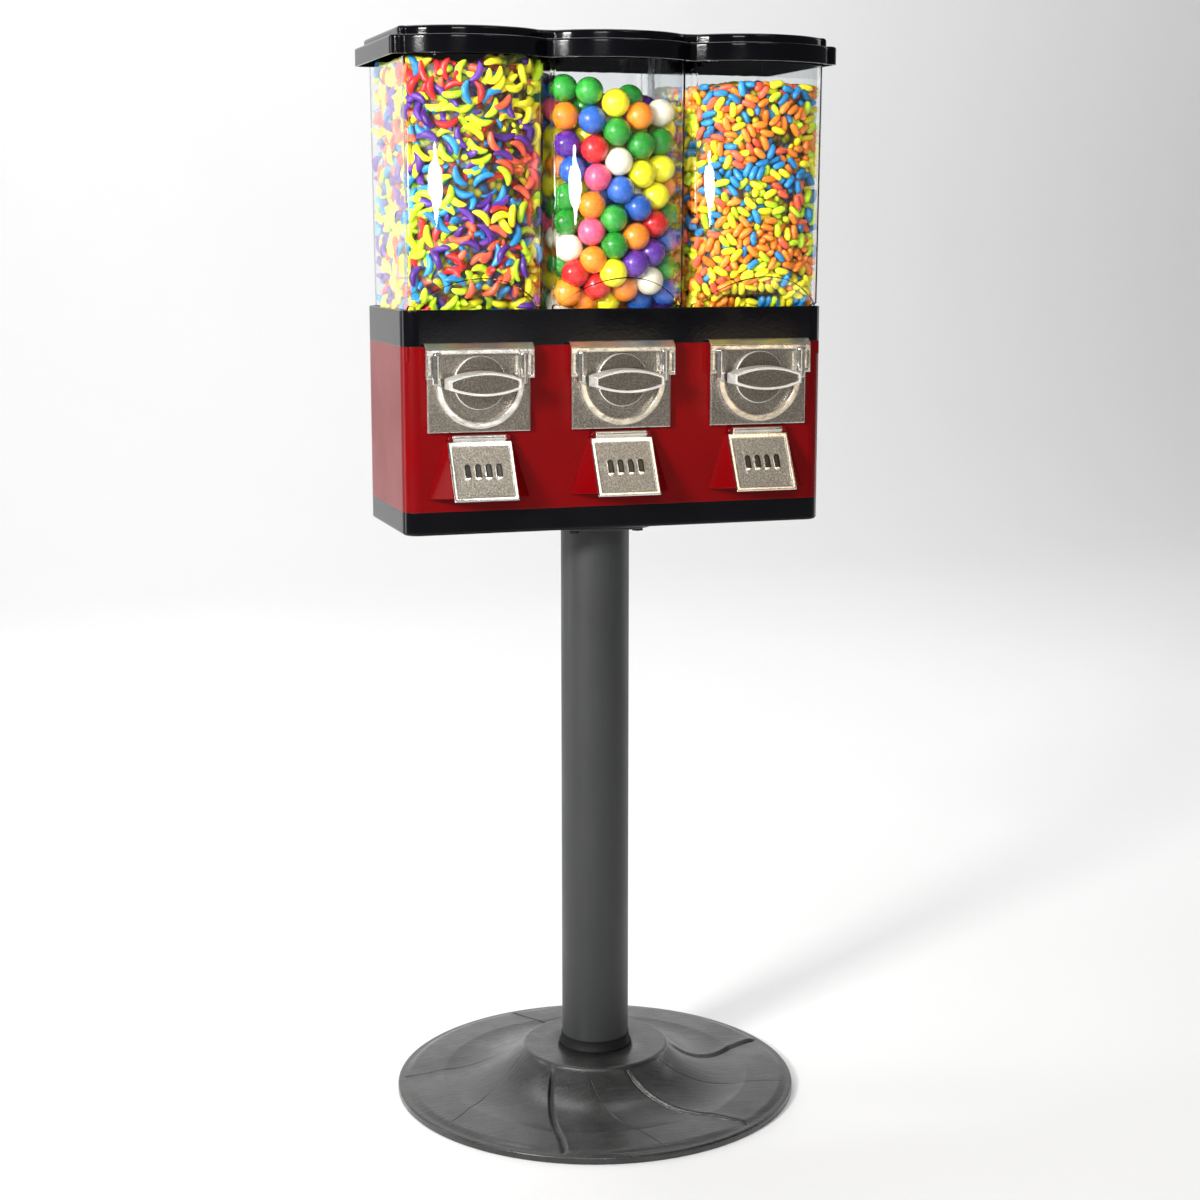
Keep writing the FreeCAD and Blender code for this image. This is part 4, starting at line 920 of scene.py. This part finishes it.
# ---- sweets -------------------------------------------------------------------------------
@dataclass
class Hopper:
    """Inside of one canister, and the level of its sweets, in millimetres."""

    head: Head
    level: float
    half_low: float = 59.0
    half_top: float = 61.0
    rear: float = 69.0
    chord: float = -70.6
    bulge: float = 25.0
    floor: float = 756.5
    top: float = 996.0
    foot_sum: float = 697.5
    heap: float = 3.0

    WALLS = 7
    SLOPE = 6                          # number of the sloping foot among the walls

    @property
    def bow(self) -> float:
        """Radius of the curved front."""
        chord = self.half_top - 2.0
        return (chord ** 2 + self.bulge ** 2) / (2 * self.bulge)

    def walls(self, points: np.ndarray) -> tuple[np.ndarray, np.ndarray]:
        """Distance from each point to each wall, and the walls' inward normals.

        Args:
            points: n x 3 points.

        Returns:
            Distances n x 7 and normals n x 7 x 3.
        """
        x, y, z = points.T
        count = len(points)
        half = self.half_low + (self.half_top - self.half_low) * (z - self.floor) / (self.top - self.floor)
        axis_y = self.chord - self.bulge + self.bow
        out = np.hypot(x, y - axis_y)
        surface = self.level + self.heap * (np.sin(x / 17.0 + self.head.value) + np.cos(y / 23.0 + x / 40.0))
        far = np.where(y < axis_y, self.bow - out, 1e3)
        gaps = np.stack([x + half, half - x, self.rear - y, far, z - self.floor, surface - z,
                         (y + z - self.foot_sum) / math.sqrt(2)], 1)
        normals = np.zeros((count, self.WALLS, 3))
        for i, n in enumerate([(1, 0, 0), (-1, 0, 0), (0, -1, 0), None, (0, 0, 1), (0, 0, -1),
                               (0, math.sqrt(0.5), math.sqrt(0.5))]):
            if n is not None:
                normals[:, i] = n
        normals[:, 3, 0] = -x / np.maximum(out, 1e-6)
        normals[:, 3, 1] = -(y - axis_y) / np.maximum(out, 1e-6)
        return gaps, normals

    def keep_inside(self, points: np.ndarray, radius: float) -> np.ndarray:
        """Moves points that are too near a wall back inside.

        Args:
            points: n x 3 points.
            radius: how far each keeps off the walls.

        Returns:
            The moved points.
        """
        for wall in range(self.WALLS):
            gaps, normals = self.walls(points)
            short = np.clip(radius - gaps[:, wall], 0, None)
            points = points + normals[:, wall] * short[:, None]
        return points


def near_pairs(points: np.ndarray, reach: float) -> tuple[np.ndarray, np.ndarray]:
    """Pairs of points closer than reach, found on a grid.

    Args:
        points: n x 3 points.
        reach: the largest distance.

    Returns:
        Two index arrays.
    """
    cell = np.floor((points - points.min(0)) / reach).astype(np.int64) + 1
    width = cell.max(0) + 2
    key = (cell[:, 0] * width[1] + cell[:, 1]) * width[2] + cell[:, 2]
    order = np.argsort(key, kind="stable")
    ranked = key[order]
    first, second = [], []
    steps = [(i, j, k) for i in (-1, 0, 1) for j in (-1, 0, 1) for k in (-1, 0, 1) if (i, j, k) >= (0, 0, 0)]
    for i, j, k in steps:
        wanted = ranked + (i * width[1] + j) * width[2] + k
        low = np.searchsorted(ranked, wanted, "left")
        count = np.searchsorted(ranked, wanted, "right") - low
        a = np.repeat(np.arange(len(ranked)), count)
        b = np.arange(count.sum()) - np.repeat(np.cumsum(count) - count, count) + np.repeat(low, count)
        keep = a < b if (i, j, k) == (0, 0, 0) else np.ones(len(a), bool)
        first.append(order[a[keep]])
        second.append(order[b[keep]])
    a, b = np.concatenate(first), np.concatenate(second)
    close = ((points[a] - points[b]) ** 2).sum(1) < reach * reach
    return a[close], b[close]


def gather(index: np.ndarray, values: np.ndarray, count: int) -> np.ndarray:
    """Returns count sums of the vectors that share an index."""
    return np.stack([np.bincount(index, values[:, i], count) for i in range(3)], 1)


@dataclass
class RodPack:
    """Loose rods packed in a layer behind the canister's walls."""

    hopper: Hopper
    length: float
    thick: float
    count: int
    depth: float
    rounds: int = 46
    seed: int = 3

    LOW, HIGH = (-61.0, -96.0), (61.0, 70.0)   # corners of the plan that rods are scattered over
    LEVEL_SPARE = 5.0
    TRIES = 6                                  # tries for each rod in one batch
    FLATTEN = 0.75                             # how far rods are laid along the nearest wall
    YIELD = 0.62
    HALF = 0.5
    BEADS = 3                                  # points on each rod that keep apart

    def settle(self) -> tuple[np.ndarray, np.ndarray]:
        """Scatters the rods and pushes them apart.

        Returns:
            The rods' middles and their axes.
        """
        rng = np.random.default_rng(self.seed)
        span = (self.length - self.thick) / 2
        low = np.array([*self.LOW, self.hopper.floor])
        high = np.array([*self.HIGH, self.hopper.level + self.LEVEL_SPARE])
        mid = np.zeros((0, 3))
        while len(mid) < self.count:
            tries = rng.uniform(low, high, (self.count * self.TRIES, 3))
            gap = self.hopper.walls(tries)[0].min(1)
            mid = np.concatenate([mid, tries[(gap > self.thick / 2) & (gap < self.depth)]])
        mid = mid[:self.count]
        axis = rng.normal(size=(self.count, 3))
        gaps, normals = self.hopper.walls(mid)
        wall = normals[np.arange(self.count), gaps.argmin(1)]
        axis -= wall * (axis * wall).sum(1, keepdims=True) * self.FLATTEN
        axis /= np.linalg.norm(axis, axis=1, keepdims=True)
        ends = np.stack([mid - axis * span, mid + axis * span], 1)
        shares = np.linspace(0.0, 1.0, self.BEADS)
        for _ in range(self.rounds):
            beads = ends[:, None, 0] * (1 - shares)[None, :, None] + ends[:, None, 1] * shares[None, :, None]
            flat = beads.reshape(-1, 3)
            a, b = near_pairs(flat, self.thick)
            other = a // self.BEADS != b // self.BEADS
            a, b = a[other], b[other]
            apart = flat[a] - flat[b]
            far = np.maximum(np.linalg.norm(apart, axis=1, keepdims=True), 1e-6)
            push = apart / far * (self.thick - far) * self.HALF
            moves = gather(a, push, len(flat)) - gather(b, push, len(flat))
            moves = (moves * self.YIELD).reshape(-1, self.BEADS, 3)
            ends[:, 0] += moves[:, 0] + moves[:, 1] * self.HALF
            ends[:, 1] += moves[:, 2] + moves[:, 1] * self.HALF
            middle = ends.mean(1)
            gaps, normals = self.hopper.walls(middle)
            near = gaps[:, :Hopper.SLOPE].argmin(1)
            rows = np.arange(len(middle))
            deep = np.clip(gaps[rows, near] - self.depth, 0, None)
            ends -= (normals[rows, near] * deep[:, None] * self.HALF)[:, None]
            ends = self.hopper.keep_inside(ends.reshape(-1, 3), self.thick / 2).reshape(-1, 2, 3)
            middle = ends.mean(1, keepdims=True)
            along = ends[:, 1] - ends[:, 0]
            along /= np.maximum(np.linalg.norm(along, axis=1, keepdims=True), 1e-6)
            ends = middle + np.stack([-along, along], 1) * span
        return ends.mean(1), ends[:, 1] - ends[:, 0]


@dataclass
class BallPack:
    """Balls dropped into a canister."""

    hopper: Hopper
    radius: float
    count: int
    rounds: int = 420
    seed: int = 11
    stirrer_tip: Point = (0.0, 4.0, 763.5)
    stirrer_reach: float = 31.0
    stirrer_gap: float = 2.2

    SPACING = 2.04                     # grid step at the start, in radii
    JITTER = 2.2
    DROP, LAST_DROP = 1.2, 0.05        # fall in each round, and in the last ones
    LAST_ROUNDS = 60
    YIELD = 0.8
    OPEN_TOP = 1400.0

    def settle(self) -> np.ndarray:
        """Drops the balls.

        Returns:
            Their middles.
        """
        rng = np.random.default_rng(self.seed)
        step = self.radius * self.SPACING
        across = np.arange(-46.0, 46.1, step)
        back = np.arange(-70.0, 56.0, step)
        layers = math.ceil(self.count / (len(across) * len(back)))
        grid = np.array([(x, y, self.hopper.floor + self.radius + 2 + k * step)
                         for k in range(layers) for y in back for x in across], float)[:self.count]
        spots = grid + rng.uniform(-self.JITTER, self.JITTER, grid.shape)
        upper, lower = np.triu_indices(len(spots), 1)
        hopper = Hopper(self.hopper.head, self.OPEN_TOP, heap=0.0)
        for turn in range(self.rounds):
            spots[:, 2] -= self.DROP if turn < self.rounds - self.LAST_ROUNDS else self.LAST_DROP
            for _ in range(2):
                apart = spots[upper] - spots[lower]
                far = np.maximum(np.linalg.norm(apart, axis=1, keepdims=True), 1e-6)
                close = far[:, 0] < 2 * self.radius
                push = apart[close] / far[close] * (2 * self.radius - far[close]) * 0.5
                spots += (gather(upper[close], push, len(spots)) * self.YIELD
                          - gather(lower[close], push, len(spots)) * self.YIELD)
                spots = hopper.keep_inside(self.clear_stirrer(spots), self.radius)
        return self.clear_stirrer(spots)

    def clear_stirrer(self, spots: np.ndarray) -> np.ndarray:
        """Moves balls off the disc that the stirrer's fingers sweep.

        Args:
            spots: the balls' middles.

        Returns:
            The moved middles.
        """
        away = spots - np.array(self.stirrer_tip)
        out = np.maximum(np.hypot(away[:, 0], away[:, 1]), 1e-6)
        beyond = np.maximum(1.0 - self.stirrer_reach / out, 0.0)
        off = np.column_stack([away[:, :2] * beyond[:, None], away[:, 2]])
        far = np.maximum(np.linalg.norm(off, axis=1, keepdims=True), 1e-6)
        return spots + off / far * np.clip(self.radius + self.stirrer_gap - far, 0, None)


def tube_template(stations: Sequence[tuple[float, float]], bend: float, sides: int
                  ) -> tuple[np.ndarray, np.ndarray, np.ndarray]:
    """A closed sweet along Z: rings at stations, and a tip at each end.

    Args:
        stations: (place along the axis, radius) of each ring, the tips first and last with radius 0.
        bend: how far the middle stands out along X.
        sides: corners of each ring.

    Returns:
        Points, quads and triangles.
    """
    half = stations[-1][0]
    turn = np.linspace(0, math.tau, sides, endpoint=False)
    points = []
    for along, radius in stations:
        lean = bend * (1 - (along / half) ** 2)
        if radius == 0.0:
            points.append((lean, 0.0, along))
        else:
            points += [(lean + radius * math.cos(a), radius * math.sin(a), along) for a in turn]
    rings = len(stations) - 2
    quads = [(1 + r * sides + s, 1 + r * sides + (s + 1) % sides, 1 + (r + 1) * sides + (s + 1) % sides,
              1 + (r + 1) * sides + s) for r in range(rings - 1) for s in range(sides)]
    last = 1 + rings * sides
    ends = [(0, 1 + (s + 1) % sides, 1 + s) for s in range(sides)]
    ends += [(last, last - sides + s, last - sides + (s + 1) % sides) for s in range(sides)]
    return np.array(points), np.array(quads), np.array(ends)


def mirrored(half: list[tuple[float, float]]) -> list[tuple[float, float]]:
    """Returns all stations of a sweet from those of one half, given from the tip inwards."""
    return [(-along, radius) for along, radius in half if along] + half[::-1]


@dataclass
class SweetFill:
    """All sweets of one canister, one piece for each colour."""

    hopper: Hopper
    kind: str
    colours: dict[str, tuple[Colour, float]]
    glaze: float = 0.5
    roughness: float = 0.32
    seed: int = 5
    drift: float = 1.0

    def shares(self, middle: np.ndarray) -> np.ndarray:
        """A colour number for each sweet; each colour comes in loose drifts.

        Args:
            middle: the sweets' middles in millimetres.

        Returns:
            Array of colour numbers.
        """
        rng = np.random.default_rng(self.seed)
        weight = np.array([[w] for _, w in self.colours.values()])
        waves = rng.normal(scale=self.drift, size=(len(weight), 3, 3)) / 26.0
        phase = rng.uniform(0, math.tau, (len(weight), 3, 1))
        swell = np.sin(np.einsum("cwj,nj->cwn", waves, middle) + phase).sum(1)
        chance = weight * np.exp(swell * 0.55 * min(self.drift, 1.0))
        chance /= chance.sum(0)
        return (rng.uniform(size=len(middle)) > chance.cumsum(0)[:-1]).sum(0)

    def frames(self, middle: np.ndarray, axis: np.ndarray) -> np.ndarray:
        """Turning matrices that lay each sweet along its axis, bent along the nearest wall.

        Args:
            middle: the sweets' middles.
            axis: their axes.

        Returns:
            n x 3 x 3 matrices.
        """
        rng = np.random.default_rng(self.seed + 1)
        along = axis / np.linalg.norm(axis, axis=1, keepdims=True)
        gaps, normals = self.hopper.walls(middle)
        wall = normals[np.arange(len(middle)), gaps[:, :Hopper.SLOPE].argmin(1)]
        side = np.cross(along, wall) * rng.choice([-1.0, 1.0], len(middle))[:, None]
        side += rng.normal(scale=0.45, size=side.shape)
        side -= along * (side * along).sum(1, keepdims=True)
        side /= np.maximum(np.linalg.norm(side, axis=1, keepdims=True), 1e-6)
        return np.stack([side, np.cross(along, side), along], 2)

    def place(self, template: tuple[np.ndarray, np.ndarray, np.ndarray], middle: np.ndarray,
              turn: np.ndarray, size: np.ndarray) -> None:
        """Makes one piece of each colour from copies of a template.

        Args:
            template: points, quads and triangles of one sweet.
            middle: the sweets' middles in millimetres.
            turn: their turning matrices.
            size: their scale factors.
        """
        points, quads, ends = template
        colour = self.shares(middle)
        first: Optional[bpy.types.Object] = None
        for number, (name, (tint, _)) in enumerate(self.colours.items()):
            mine = np.flatnonzero(colour == number)
            spots = np.einsum("nij,mj->nmi", turn[mine], points) * size[mine][:, None, None]
            spots += middle[mine][:, None]
            spots[..., 0] += self.hopper.head.x / MM
            offset = (np.arange(len(mine)) * len(points))[:, None, None]
            faces = [(f[None] + offset).reshape(-1, f.shape[1]) for f in (quads, ends)]
            material = Sweet(f"{self.kind}_{name}", tint, self.glaze, self.roughness).make()
            piece = mesh_object(f"{self.kind}_{self.hopper.head.tag}_{name}", spots.reshape(-1, 3) * MM,
                                faces, material)
            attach(piece, Body.STAND.value)
            first = first or piece
            log.info("%s %s: %d sweets", self.kind, name, len(mine))
        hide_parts("candy_" + self.hopper.head.tag)


YELLOW, LIME, PURPLE = (0.95, 0.82, 0.004), (0.58, 0.86, 0.006), (0.085, 0.010, 0.26)
TEAL, CORAL, RED = (0.003, 0.215, 0.52), (0.88, 0.105, 0.035), (0.66, 0.006, 0.006)
ORANGE, GREEN, BLUE = (0.95, 0.235, 0.004), (0.006, 0.235, 0.010), (0.008, 0.085, 0.40)
PINK, WHITE = (0.90, 0.085, 0.19), (0.92, 0.84, 0.64)


@dataclass
class SweetCore:
    """The sweets too deep to be seen one by one, as one lumpy mass in their mixed colours, darkened by
    painted shade.
    """

    hopper: Hopper
    depth: float
    kind: str
    colours: tuple[Colour, ...]
    cell: float

    LUMP = 1.5 * MM
    # near-black of the painted shade in the gaps between sweets
    GAP_SHADE_COLOUR = (0.015, 0.008, 0.008)
    LEVELS = 9

    def section(self, height: float) -> np.ndarray:
        """The canister's plan at a height, taken in by the depth.

        Args:
            height: millimetres.

        Returns:
            Closed outline of x, y, z points.
        """
        hopper = self.hopper
        share = (height - hopper.floor) / (hopper.top - hopper.floor)
        half = hopper.half_low + (hopper.half_top - hopper.half_low) * share - self.depth
        radius = hopper.bow - self.depth
        centre = hopper.chord - hopper.bulge + hopper.bow
        across = np.linspace(-half, half, 15)
        sole = hopper.foot_sum - height + self.depth * math.sqrt(2)
        bow = np.maximum(centre - np.sqrt(radius ** 2 - across ** 2), sole)
        rear = np.full(8, hopper.rear - self.depth)
        x = np.concatenate([across, np.linspace(half, -half, 8)])
        return np.column_stack([x, np.concatenate([bow, rear]), np.full(len(x), height)])

    def build(self) -> None:
        """Makes the mass."""
        levels = np.linspace(self.hopper.floor + self.depth * 0.5, self.hopper.level - self.depth * 0.7,
                             self.LEVELS)
        rings = [self.section(z) for z in levels]
        size = len(rings[0])
        middles = [rings[0].mean(0), rings[-1].mean(0)]
        points = np.concatenate(rings + [np.array(middles)])
        points[:, 0] += self.hopper.head.x / MM
        side = np.arange(size)
        after = (side + 1) % size
        walls = np.concatenate([np.stack([r * size + side, r * size + after, (r + 1) * size + after,
                                          (r + 1) * size + side], -1) for r in range(len(rings) - 1)])
        last = (len(rings) - 1) * size
        hubs = len(rings) * size
        caps = np.concatenate([np.stack([after, side, np.full(size, hubs)], -1),
                               np.stack([last + side, last + after, np.full(size, hubs + 1)], -1)])
        piece = mesh_object(f"{self.kind}_core", points * MM, [walls, caps], self.material(), smooth=False)
        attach(piece, Body.STAND.value)

    def material(self) -> bpy.types.Material:
        """Cells in the sweets' colours at half brightness as painted shade, with painted shade in the gaps
        between them.

        Returns:
            The new material.
        """
        material, sheet, shader, _ = new_material(f"{self.kind}_mass")
        cell = sheet.add("TexVoronoi")
        sheet.feed(cell.inputs["Vector"], sheet.place())
        cell.inputs["Scale"].default_value = 1.0 / (self.cell * MM)
        pick = sheet.add("SeparateColor")
        sheet.feed(pick.inputs[0], cell.outputs["Color"])
        ramp = sheet.add("ValToRGB")
        ramp.color_ramp.interpolation = "CONSTANT"
        stops = ramp.color_ramp.elements
        stops.remove(stops[1])
        stops[0].color = (*self.colours[0], 1.0)
        for number, tint in enumerate(self.colours[1:], 1):
            stops.new(number / len(self.colours)).color = (*tint, 1.0)
        # painted shade: the cells' colours are halved towards black
        shaded = sheet.blend(0.5, ramp.outputs[0], (0.0, 0.0, 0.0))
        sheet.feed(ramp.inputs[0], pick.outputs[0])
        # painted shade: the gaps between cells darken towards near-black
        gap = sheet.span(cell.outputs["Distance"], 0.1, 0.95, (0.15, 0.7))
        sheet.feed(shader.inputs["Base Color"], sheet.blend(gap, shaded, self.GAP_SHADE_COLOUR))
        bump = sheet.bump(sheet.maths("MULTIPLY", cell.outputs["Distance"], -self.LUMP))
        sheet.feed(shader.inputs["Normal"], bump.outputs[0])
        shader.inputs["Roughness"].default_value = 0.55
        return material


@dataclass
class SweetStore:
    """The contents of the three canisters."""

    left: Hopper = field(default_factory=lambda: Hopper(Head.LEFT, 982.0, heap=2.5))
    centre: Hopper = field(default_factory=lambda: Hopper(Head.CENTRE, 963.0))
    right: Hopper = field(default_factory=lambda: Hopper(Head.RIGHT, 967.0, heap=2.5))

    LID_CLEAR = 990.0                  # no sweet's middle is higher
    BALL_R = 12.7
    BALL_LATS = 13                     # spans from pole to pole of a ball

    def bananas(self) -> None:
        """Bent pressed sweets in the left canister."""
        count = 1950
        middle, axis = RodPack(self.left, 19.5, 6.8, count, 15.0).settle()
        rng = np.random.default_rng(21)
        template = tube_template(mirrored([(10.1, 0.0), (9.8, 1.2), (8.8, 2.15), (6.0, 3.15), (2.1, 3.45)]),
                                 4.2, 10)
        fill = SweetFill(self.left, "banana_sweets", {
            "yellow": (YELLOW, 0.26), "lime": (LIME, 0.22), "purple": (PURPLE, 0.17), "teal": (TEAL, 0.11),
            "coral": (CORAL, 0.16), "red": (RED, 0.08)}, 0.45, 0.34)
        middle[:, 2] = np.minimum(middle[:, 2], self.LID_CLEAR)
        fill.place(template, middle, fill.frames(middle, axis), rng.uniform(0.93, 1.04, len(middle)))
        SweetCore(self.left, 9.0, "banana_sweets", (YELLOW, LIME, PURPLE, TEAL, CORAL, YELLOW, RED),
                  7.0).build()

    def balls(self) -> None:
        """Panned balls in the middle canister."""
        middle = BallPack(self.centre, self.BALL_R, 294).settle()
        rng = np.random.default_rng(8)
        shell = self.BALL_R - 0.05
        turns = [math.pi * i / self.BALL_LATS for i in range(self.BALL_LATS + 1)]
        lats = [(-shell * math.cos(turn), shell * math.sin(turn)) for turn in turns]
        lats[0], lats[-1] = (lats[0][0], 0.0), (lats[-1][0], 0.0)
        axis = rng.normal(size=(len(middle), 3))
        fill = SweetFill(self.centre, "ball_sweets", {
            "green": (GREEN, 0.20), "yellow": (YELLOW, 0.17), "orange": (ORANGE, 0.14), "red": (RED, 0.11),
            "blue": (BLUE, 0.14), "pink": (PINK, 0.09), "purple": (PURPLE, 0.06), "white": (WHITE, 0.09)},
            0.8, 0.26, seed=17, drift=0.1)
        fill.place(tube_template(lats, 0.0, 22), middle, fill.frames(middle, axis),
                   rng.uniform(0.985, 1.0, len(middle)))

    def pellets(self) -> None:
        """Small pressed sweets in the right canister."""
        count = 2900
        middle, axis = RodPack(self.right, 13.4, 6.3, count, 13.0, seed=7).settle()
        rng = np.random.default_rng(23)
        template = tube_template(mirrored([(6.9, 0.0), (6.7, 1.1), (5.8, 2.2), (3.3, 3.1), (0.0, 3.3)]),
                                 0.5, 10)
        fill = SweetFill(self.right, "pellet_sweets", {
            "orange": (ORANGE, 0.38), "yellow": (YELLOW, 0.22), "teal": (TEAL, 0.20), "lime": (LIME, 0.12),
            "pink": (CORAL, 0.08)}, 0.35, 0.38, seed=9)
        fill.place(template, middle, fill.frames(middle, axis), rng.uniform(0.92, 1.05, len(middle)))
        SweetCore(self.right, 8.0, "pellet_sweets", (ORANGE, YELLOW, TEAL, ORANGE, LIME), 5.5).build()

    def build(self) -> None:
        """Fills all three canisters."""
        self.bananas()
        self.balls()
        self.pellets()


# ---- the vendor's own parts ---------------------------------------------------------------
class Casing:
    """Finishes of every CAD node that is shown as it is."""

    PLAIN = {
        "pole": ("pole_tube", "top_flange"),
        "steel": ("base_bolt_set", "pole_plug", "clamp_fasteners", "lid_straps",
                  "mech_screws", "flap_pins", "door_hinge_pins", "pawls"),
        "black": ("base_pan", "canister_tray", "lid"),
        "rubber": ("pole_collar",),
        "inner_black": ("flange_fasteners", "coin_tray", "baffles", "wheel_wells"),
        "red": ("cabinet_shell", "rear_door", "hoods"),
        "chrome": ("lid_lock_bodies", "lid_lock_left", "lid_lock_right", "door_lock"),
    }
    EACH_HEAD = {
        "steel": ("mech_housing",),
        "inner_black": ("product_wheel", "pinion", "stirrer", "chute"),
        "clear": ("canister",),
        "plate": ("mech_plate",),
        "grip": ("handle",),
        "flap": ("flap",),
        "brass": ("coin_disc",),
    }

    def build(self, paints: Paints) -> None:
        """Dresses the nodes.

        Args:
            paints: the finishes.
        """
        for key, nodes in self.PLAIN.items():
            for node in nodes:
                dress(node, paints.get(key))
        for key, stems in self.EACH_HEAD.items():
            for stem in stems:
                for head in Head:
                    dress(f"{stem}_{head.tag}", paints.get(key))
        log.info("casing dressed")


# ---- studio -------------------------------------------------------------------------------
class LampShape(Enum):
    """Blender's names for the shapes of a soft lamp."""

    PANEL = "RECTANGLE"
    OVAL = "ELLIPSE"


@dataclass(frozen=True)
class Lamp:
    """A soft lamp: where it hangs, what it faces, its size in metres and its watts."""

    name: str
    place: Point
    target: Point
    size: tuple[float, float]
    power: float
    colour: Colour = (1.0, 1.0, 1.0)
    shape: LampShape = LampShape.PANEL

    def hang(self) -> None:
        """Adds the lamp, which isn't seen directly through clear plastic."""
        data = bpy.data.lights.new(self.name, "AREA")
        data.shape = self.shape.value
        data.size, data.size_y = self.size
        data.energy = self.power
        data.color = self.colour
        lamp = bpy.data.objects.new(self.name, data)
        lamp.location = self.place
        lamp.rotation_euler = (Vector(self.target) - Vector(self.place)).to_track_quat("-Z", "Y").to_euler()
        lamp.visible_transmission = False
        bpy.context.scene.collection.objects.link(lamp)


KEY_PLACE, KEY_TARGET = (-0.70, -0.66, 0.887), (0.0, -0.09, 0.875)
KEY_COLOUR = (1.0, 0.99, 0.97)
LAMPS = (
    Lamp("key", KEY_PLACE, KEY_TARGET, (0.26, 0.062), 1.9, KEY_COLOUR, LampShape.OVAL),
    Lamp("key_tips", KEY_PLACE, KEY_TARGET, (0.10, 0.105), 1.0, KEY_COLOUR, LampShape.OVAL),
    Lamp("side_key", (-2.15, -1.45, 1.45), (0.0, 0.0, 0.72), (0.40, 0.40), 62.0, KEY_COLOUR),
    Lamp("front", (-0.7, -2.7, 1.7), (0.0, 0.0, 0.75), (0.7, 0.7), 24.0),
    Lamp("top", (0.0, 0.75, 2.7), (0.0, 0.0, 0.3), (1.8, 1.2), 20.0),
    Lamp("left", (-2.3, 0.9, 0.9), (0.0, 0.0, 0.5), (0.6, 1.8), 13.0),
    Lamp("right", (2.3, 0.7, 0.9), (0.0, 0.0, 0.5), (0.5, 1.8), 6.0),
    Lamp("backdrop", (0.0, 1.4, 3.2), (0.0, 4.2, 1.2), (4.0, 1.0), 90.0),
)
GLINTS = {Head.LEFT: ((1.0, 0.97, 0.93), 1.1), Head.CENTRE: ((1.0, 0.85, 0.62), 0.6),
          Head.RIGHT: ((1.0, 0.76, 0.50), 0.5)}


@dataclass
class Studio:
    """Pale floor, soft lamps and the camera."""

    distance: float = 2.0
    azimuth: float = 17.7
    eye: float = 0.83
    yaw: float = 17.84
    pitch: float = 9.77
    lens: float = 63.6
    half_width: float = 16.0
    near_edge: float = -12.0
    bend_start: float = 3.0
    bend_radius: float = 1.5
    wall_top: float = 6.0

    def floor(self) -> None:
        """A wide pale floor that curves up into a backdrop."""
        span = np.linspace(-self.half_width, self.half_width, 3)
        bend = [(self.bend_start + self.bend_radius * math.sin(a),
                 self.bend_radius - self.bend_radius * math.cos(a))
                for a in np.linspace(0.1, math.pi / 2, 14)]
        run = [(self.near_edge, 0.0), (self.bend_start, 0.0)] + bend
        run.append((self.bend_start + self.bend_radius, self.wall_top))
        points = np.array([(x, y, z - 0.2 * MM) for y, z in run for x in span])
        faces = np.array([(r * 3 + c, r * 3 + c + 1, (r + 1) * 3 + c + 1, (r + 1) * 3 + c)
                          for r in range(len(run) - 1) for c in range(2)])
        pale = Coating("studio_paper", (0.84, 0.84, 0.84), (0.825, 0.825, 0.825), (0.85, 0.95), 2.0,
                       grain=200.0, grain_depth=0.02 * MM, specular=0.2, glow=0.12)
        piece = mesh_object("studio_floor", points, [faces], pale.make())

    def lamps(self) -> None:
        """Hangs the lamps and the small ones that each plate and flap mirror, and lights the surround."""
        for lamp in LAMPS:
            lamp.hang()
        for head, (tint, power) in GLINTS.items():
            x = 0.67 + head.x * 2.1
            Lamp(f"glint_{head.tag}", (x, -2.15, 0.56), (x, 0.0, 0.56), (0.20, 0.16), 0.20, tint).hang()
            Lamp(f"flap_glint_{head.tag}", (0.64 + head.x * 1.6, -1.35, 2.05), (head.x, -0.1, 0.6),
                 (0.20, 0.34), power, tint).hang()
        scene = bpy.context.scene
        scene.view_settings.view_transform = "Standard"
        scene.world = bpy.data.worlds.new("surround")
        scene.world.use_nodes = True
        surround = scene.world.node_tree.nodes["Background"].inputs
        surround[0].default_value = (0.95, 0.97, 1.0, 1.0)
        surround[1].default_value = 0.13

    def camera(self) -> None:
        """The camera at front left."""
        data = bpy.data.cameras.new("camera")
        data.lens = self.lens
        data.sensor_width = 36.0
        camera = bpy.data.objects.new("camera", data)
        a = math.radians(self.azimuth)
        camera.location = (-self.distance * math.sin(a), -self.distance * math.cos(a), self.eye)
        camera.rotation_euler = (math.radians(90.0 - self.pitch), 0.0, -math.radians(self.yaw))
        bpy.context.scene.collection.objects.link(camera)
        bpy.context.scene.camera = camera

    def build(self) -> None:
        """Sets up floor, lamps and camera."""
        self.floor()
        self.lamps()
        self.camera()
        log.info("studio ready")


def main() -> None:
    """Builds everything in order."""
    logging.basicConfig(level=logging.INFO, format="%(name)s: %(message)s")
    paints = Paints()
    Studio().build()
    Casing().build(paints)
    Foot().build(paints)
    SweetStore().build()


if __name__ == "__main__":
    main()
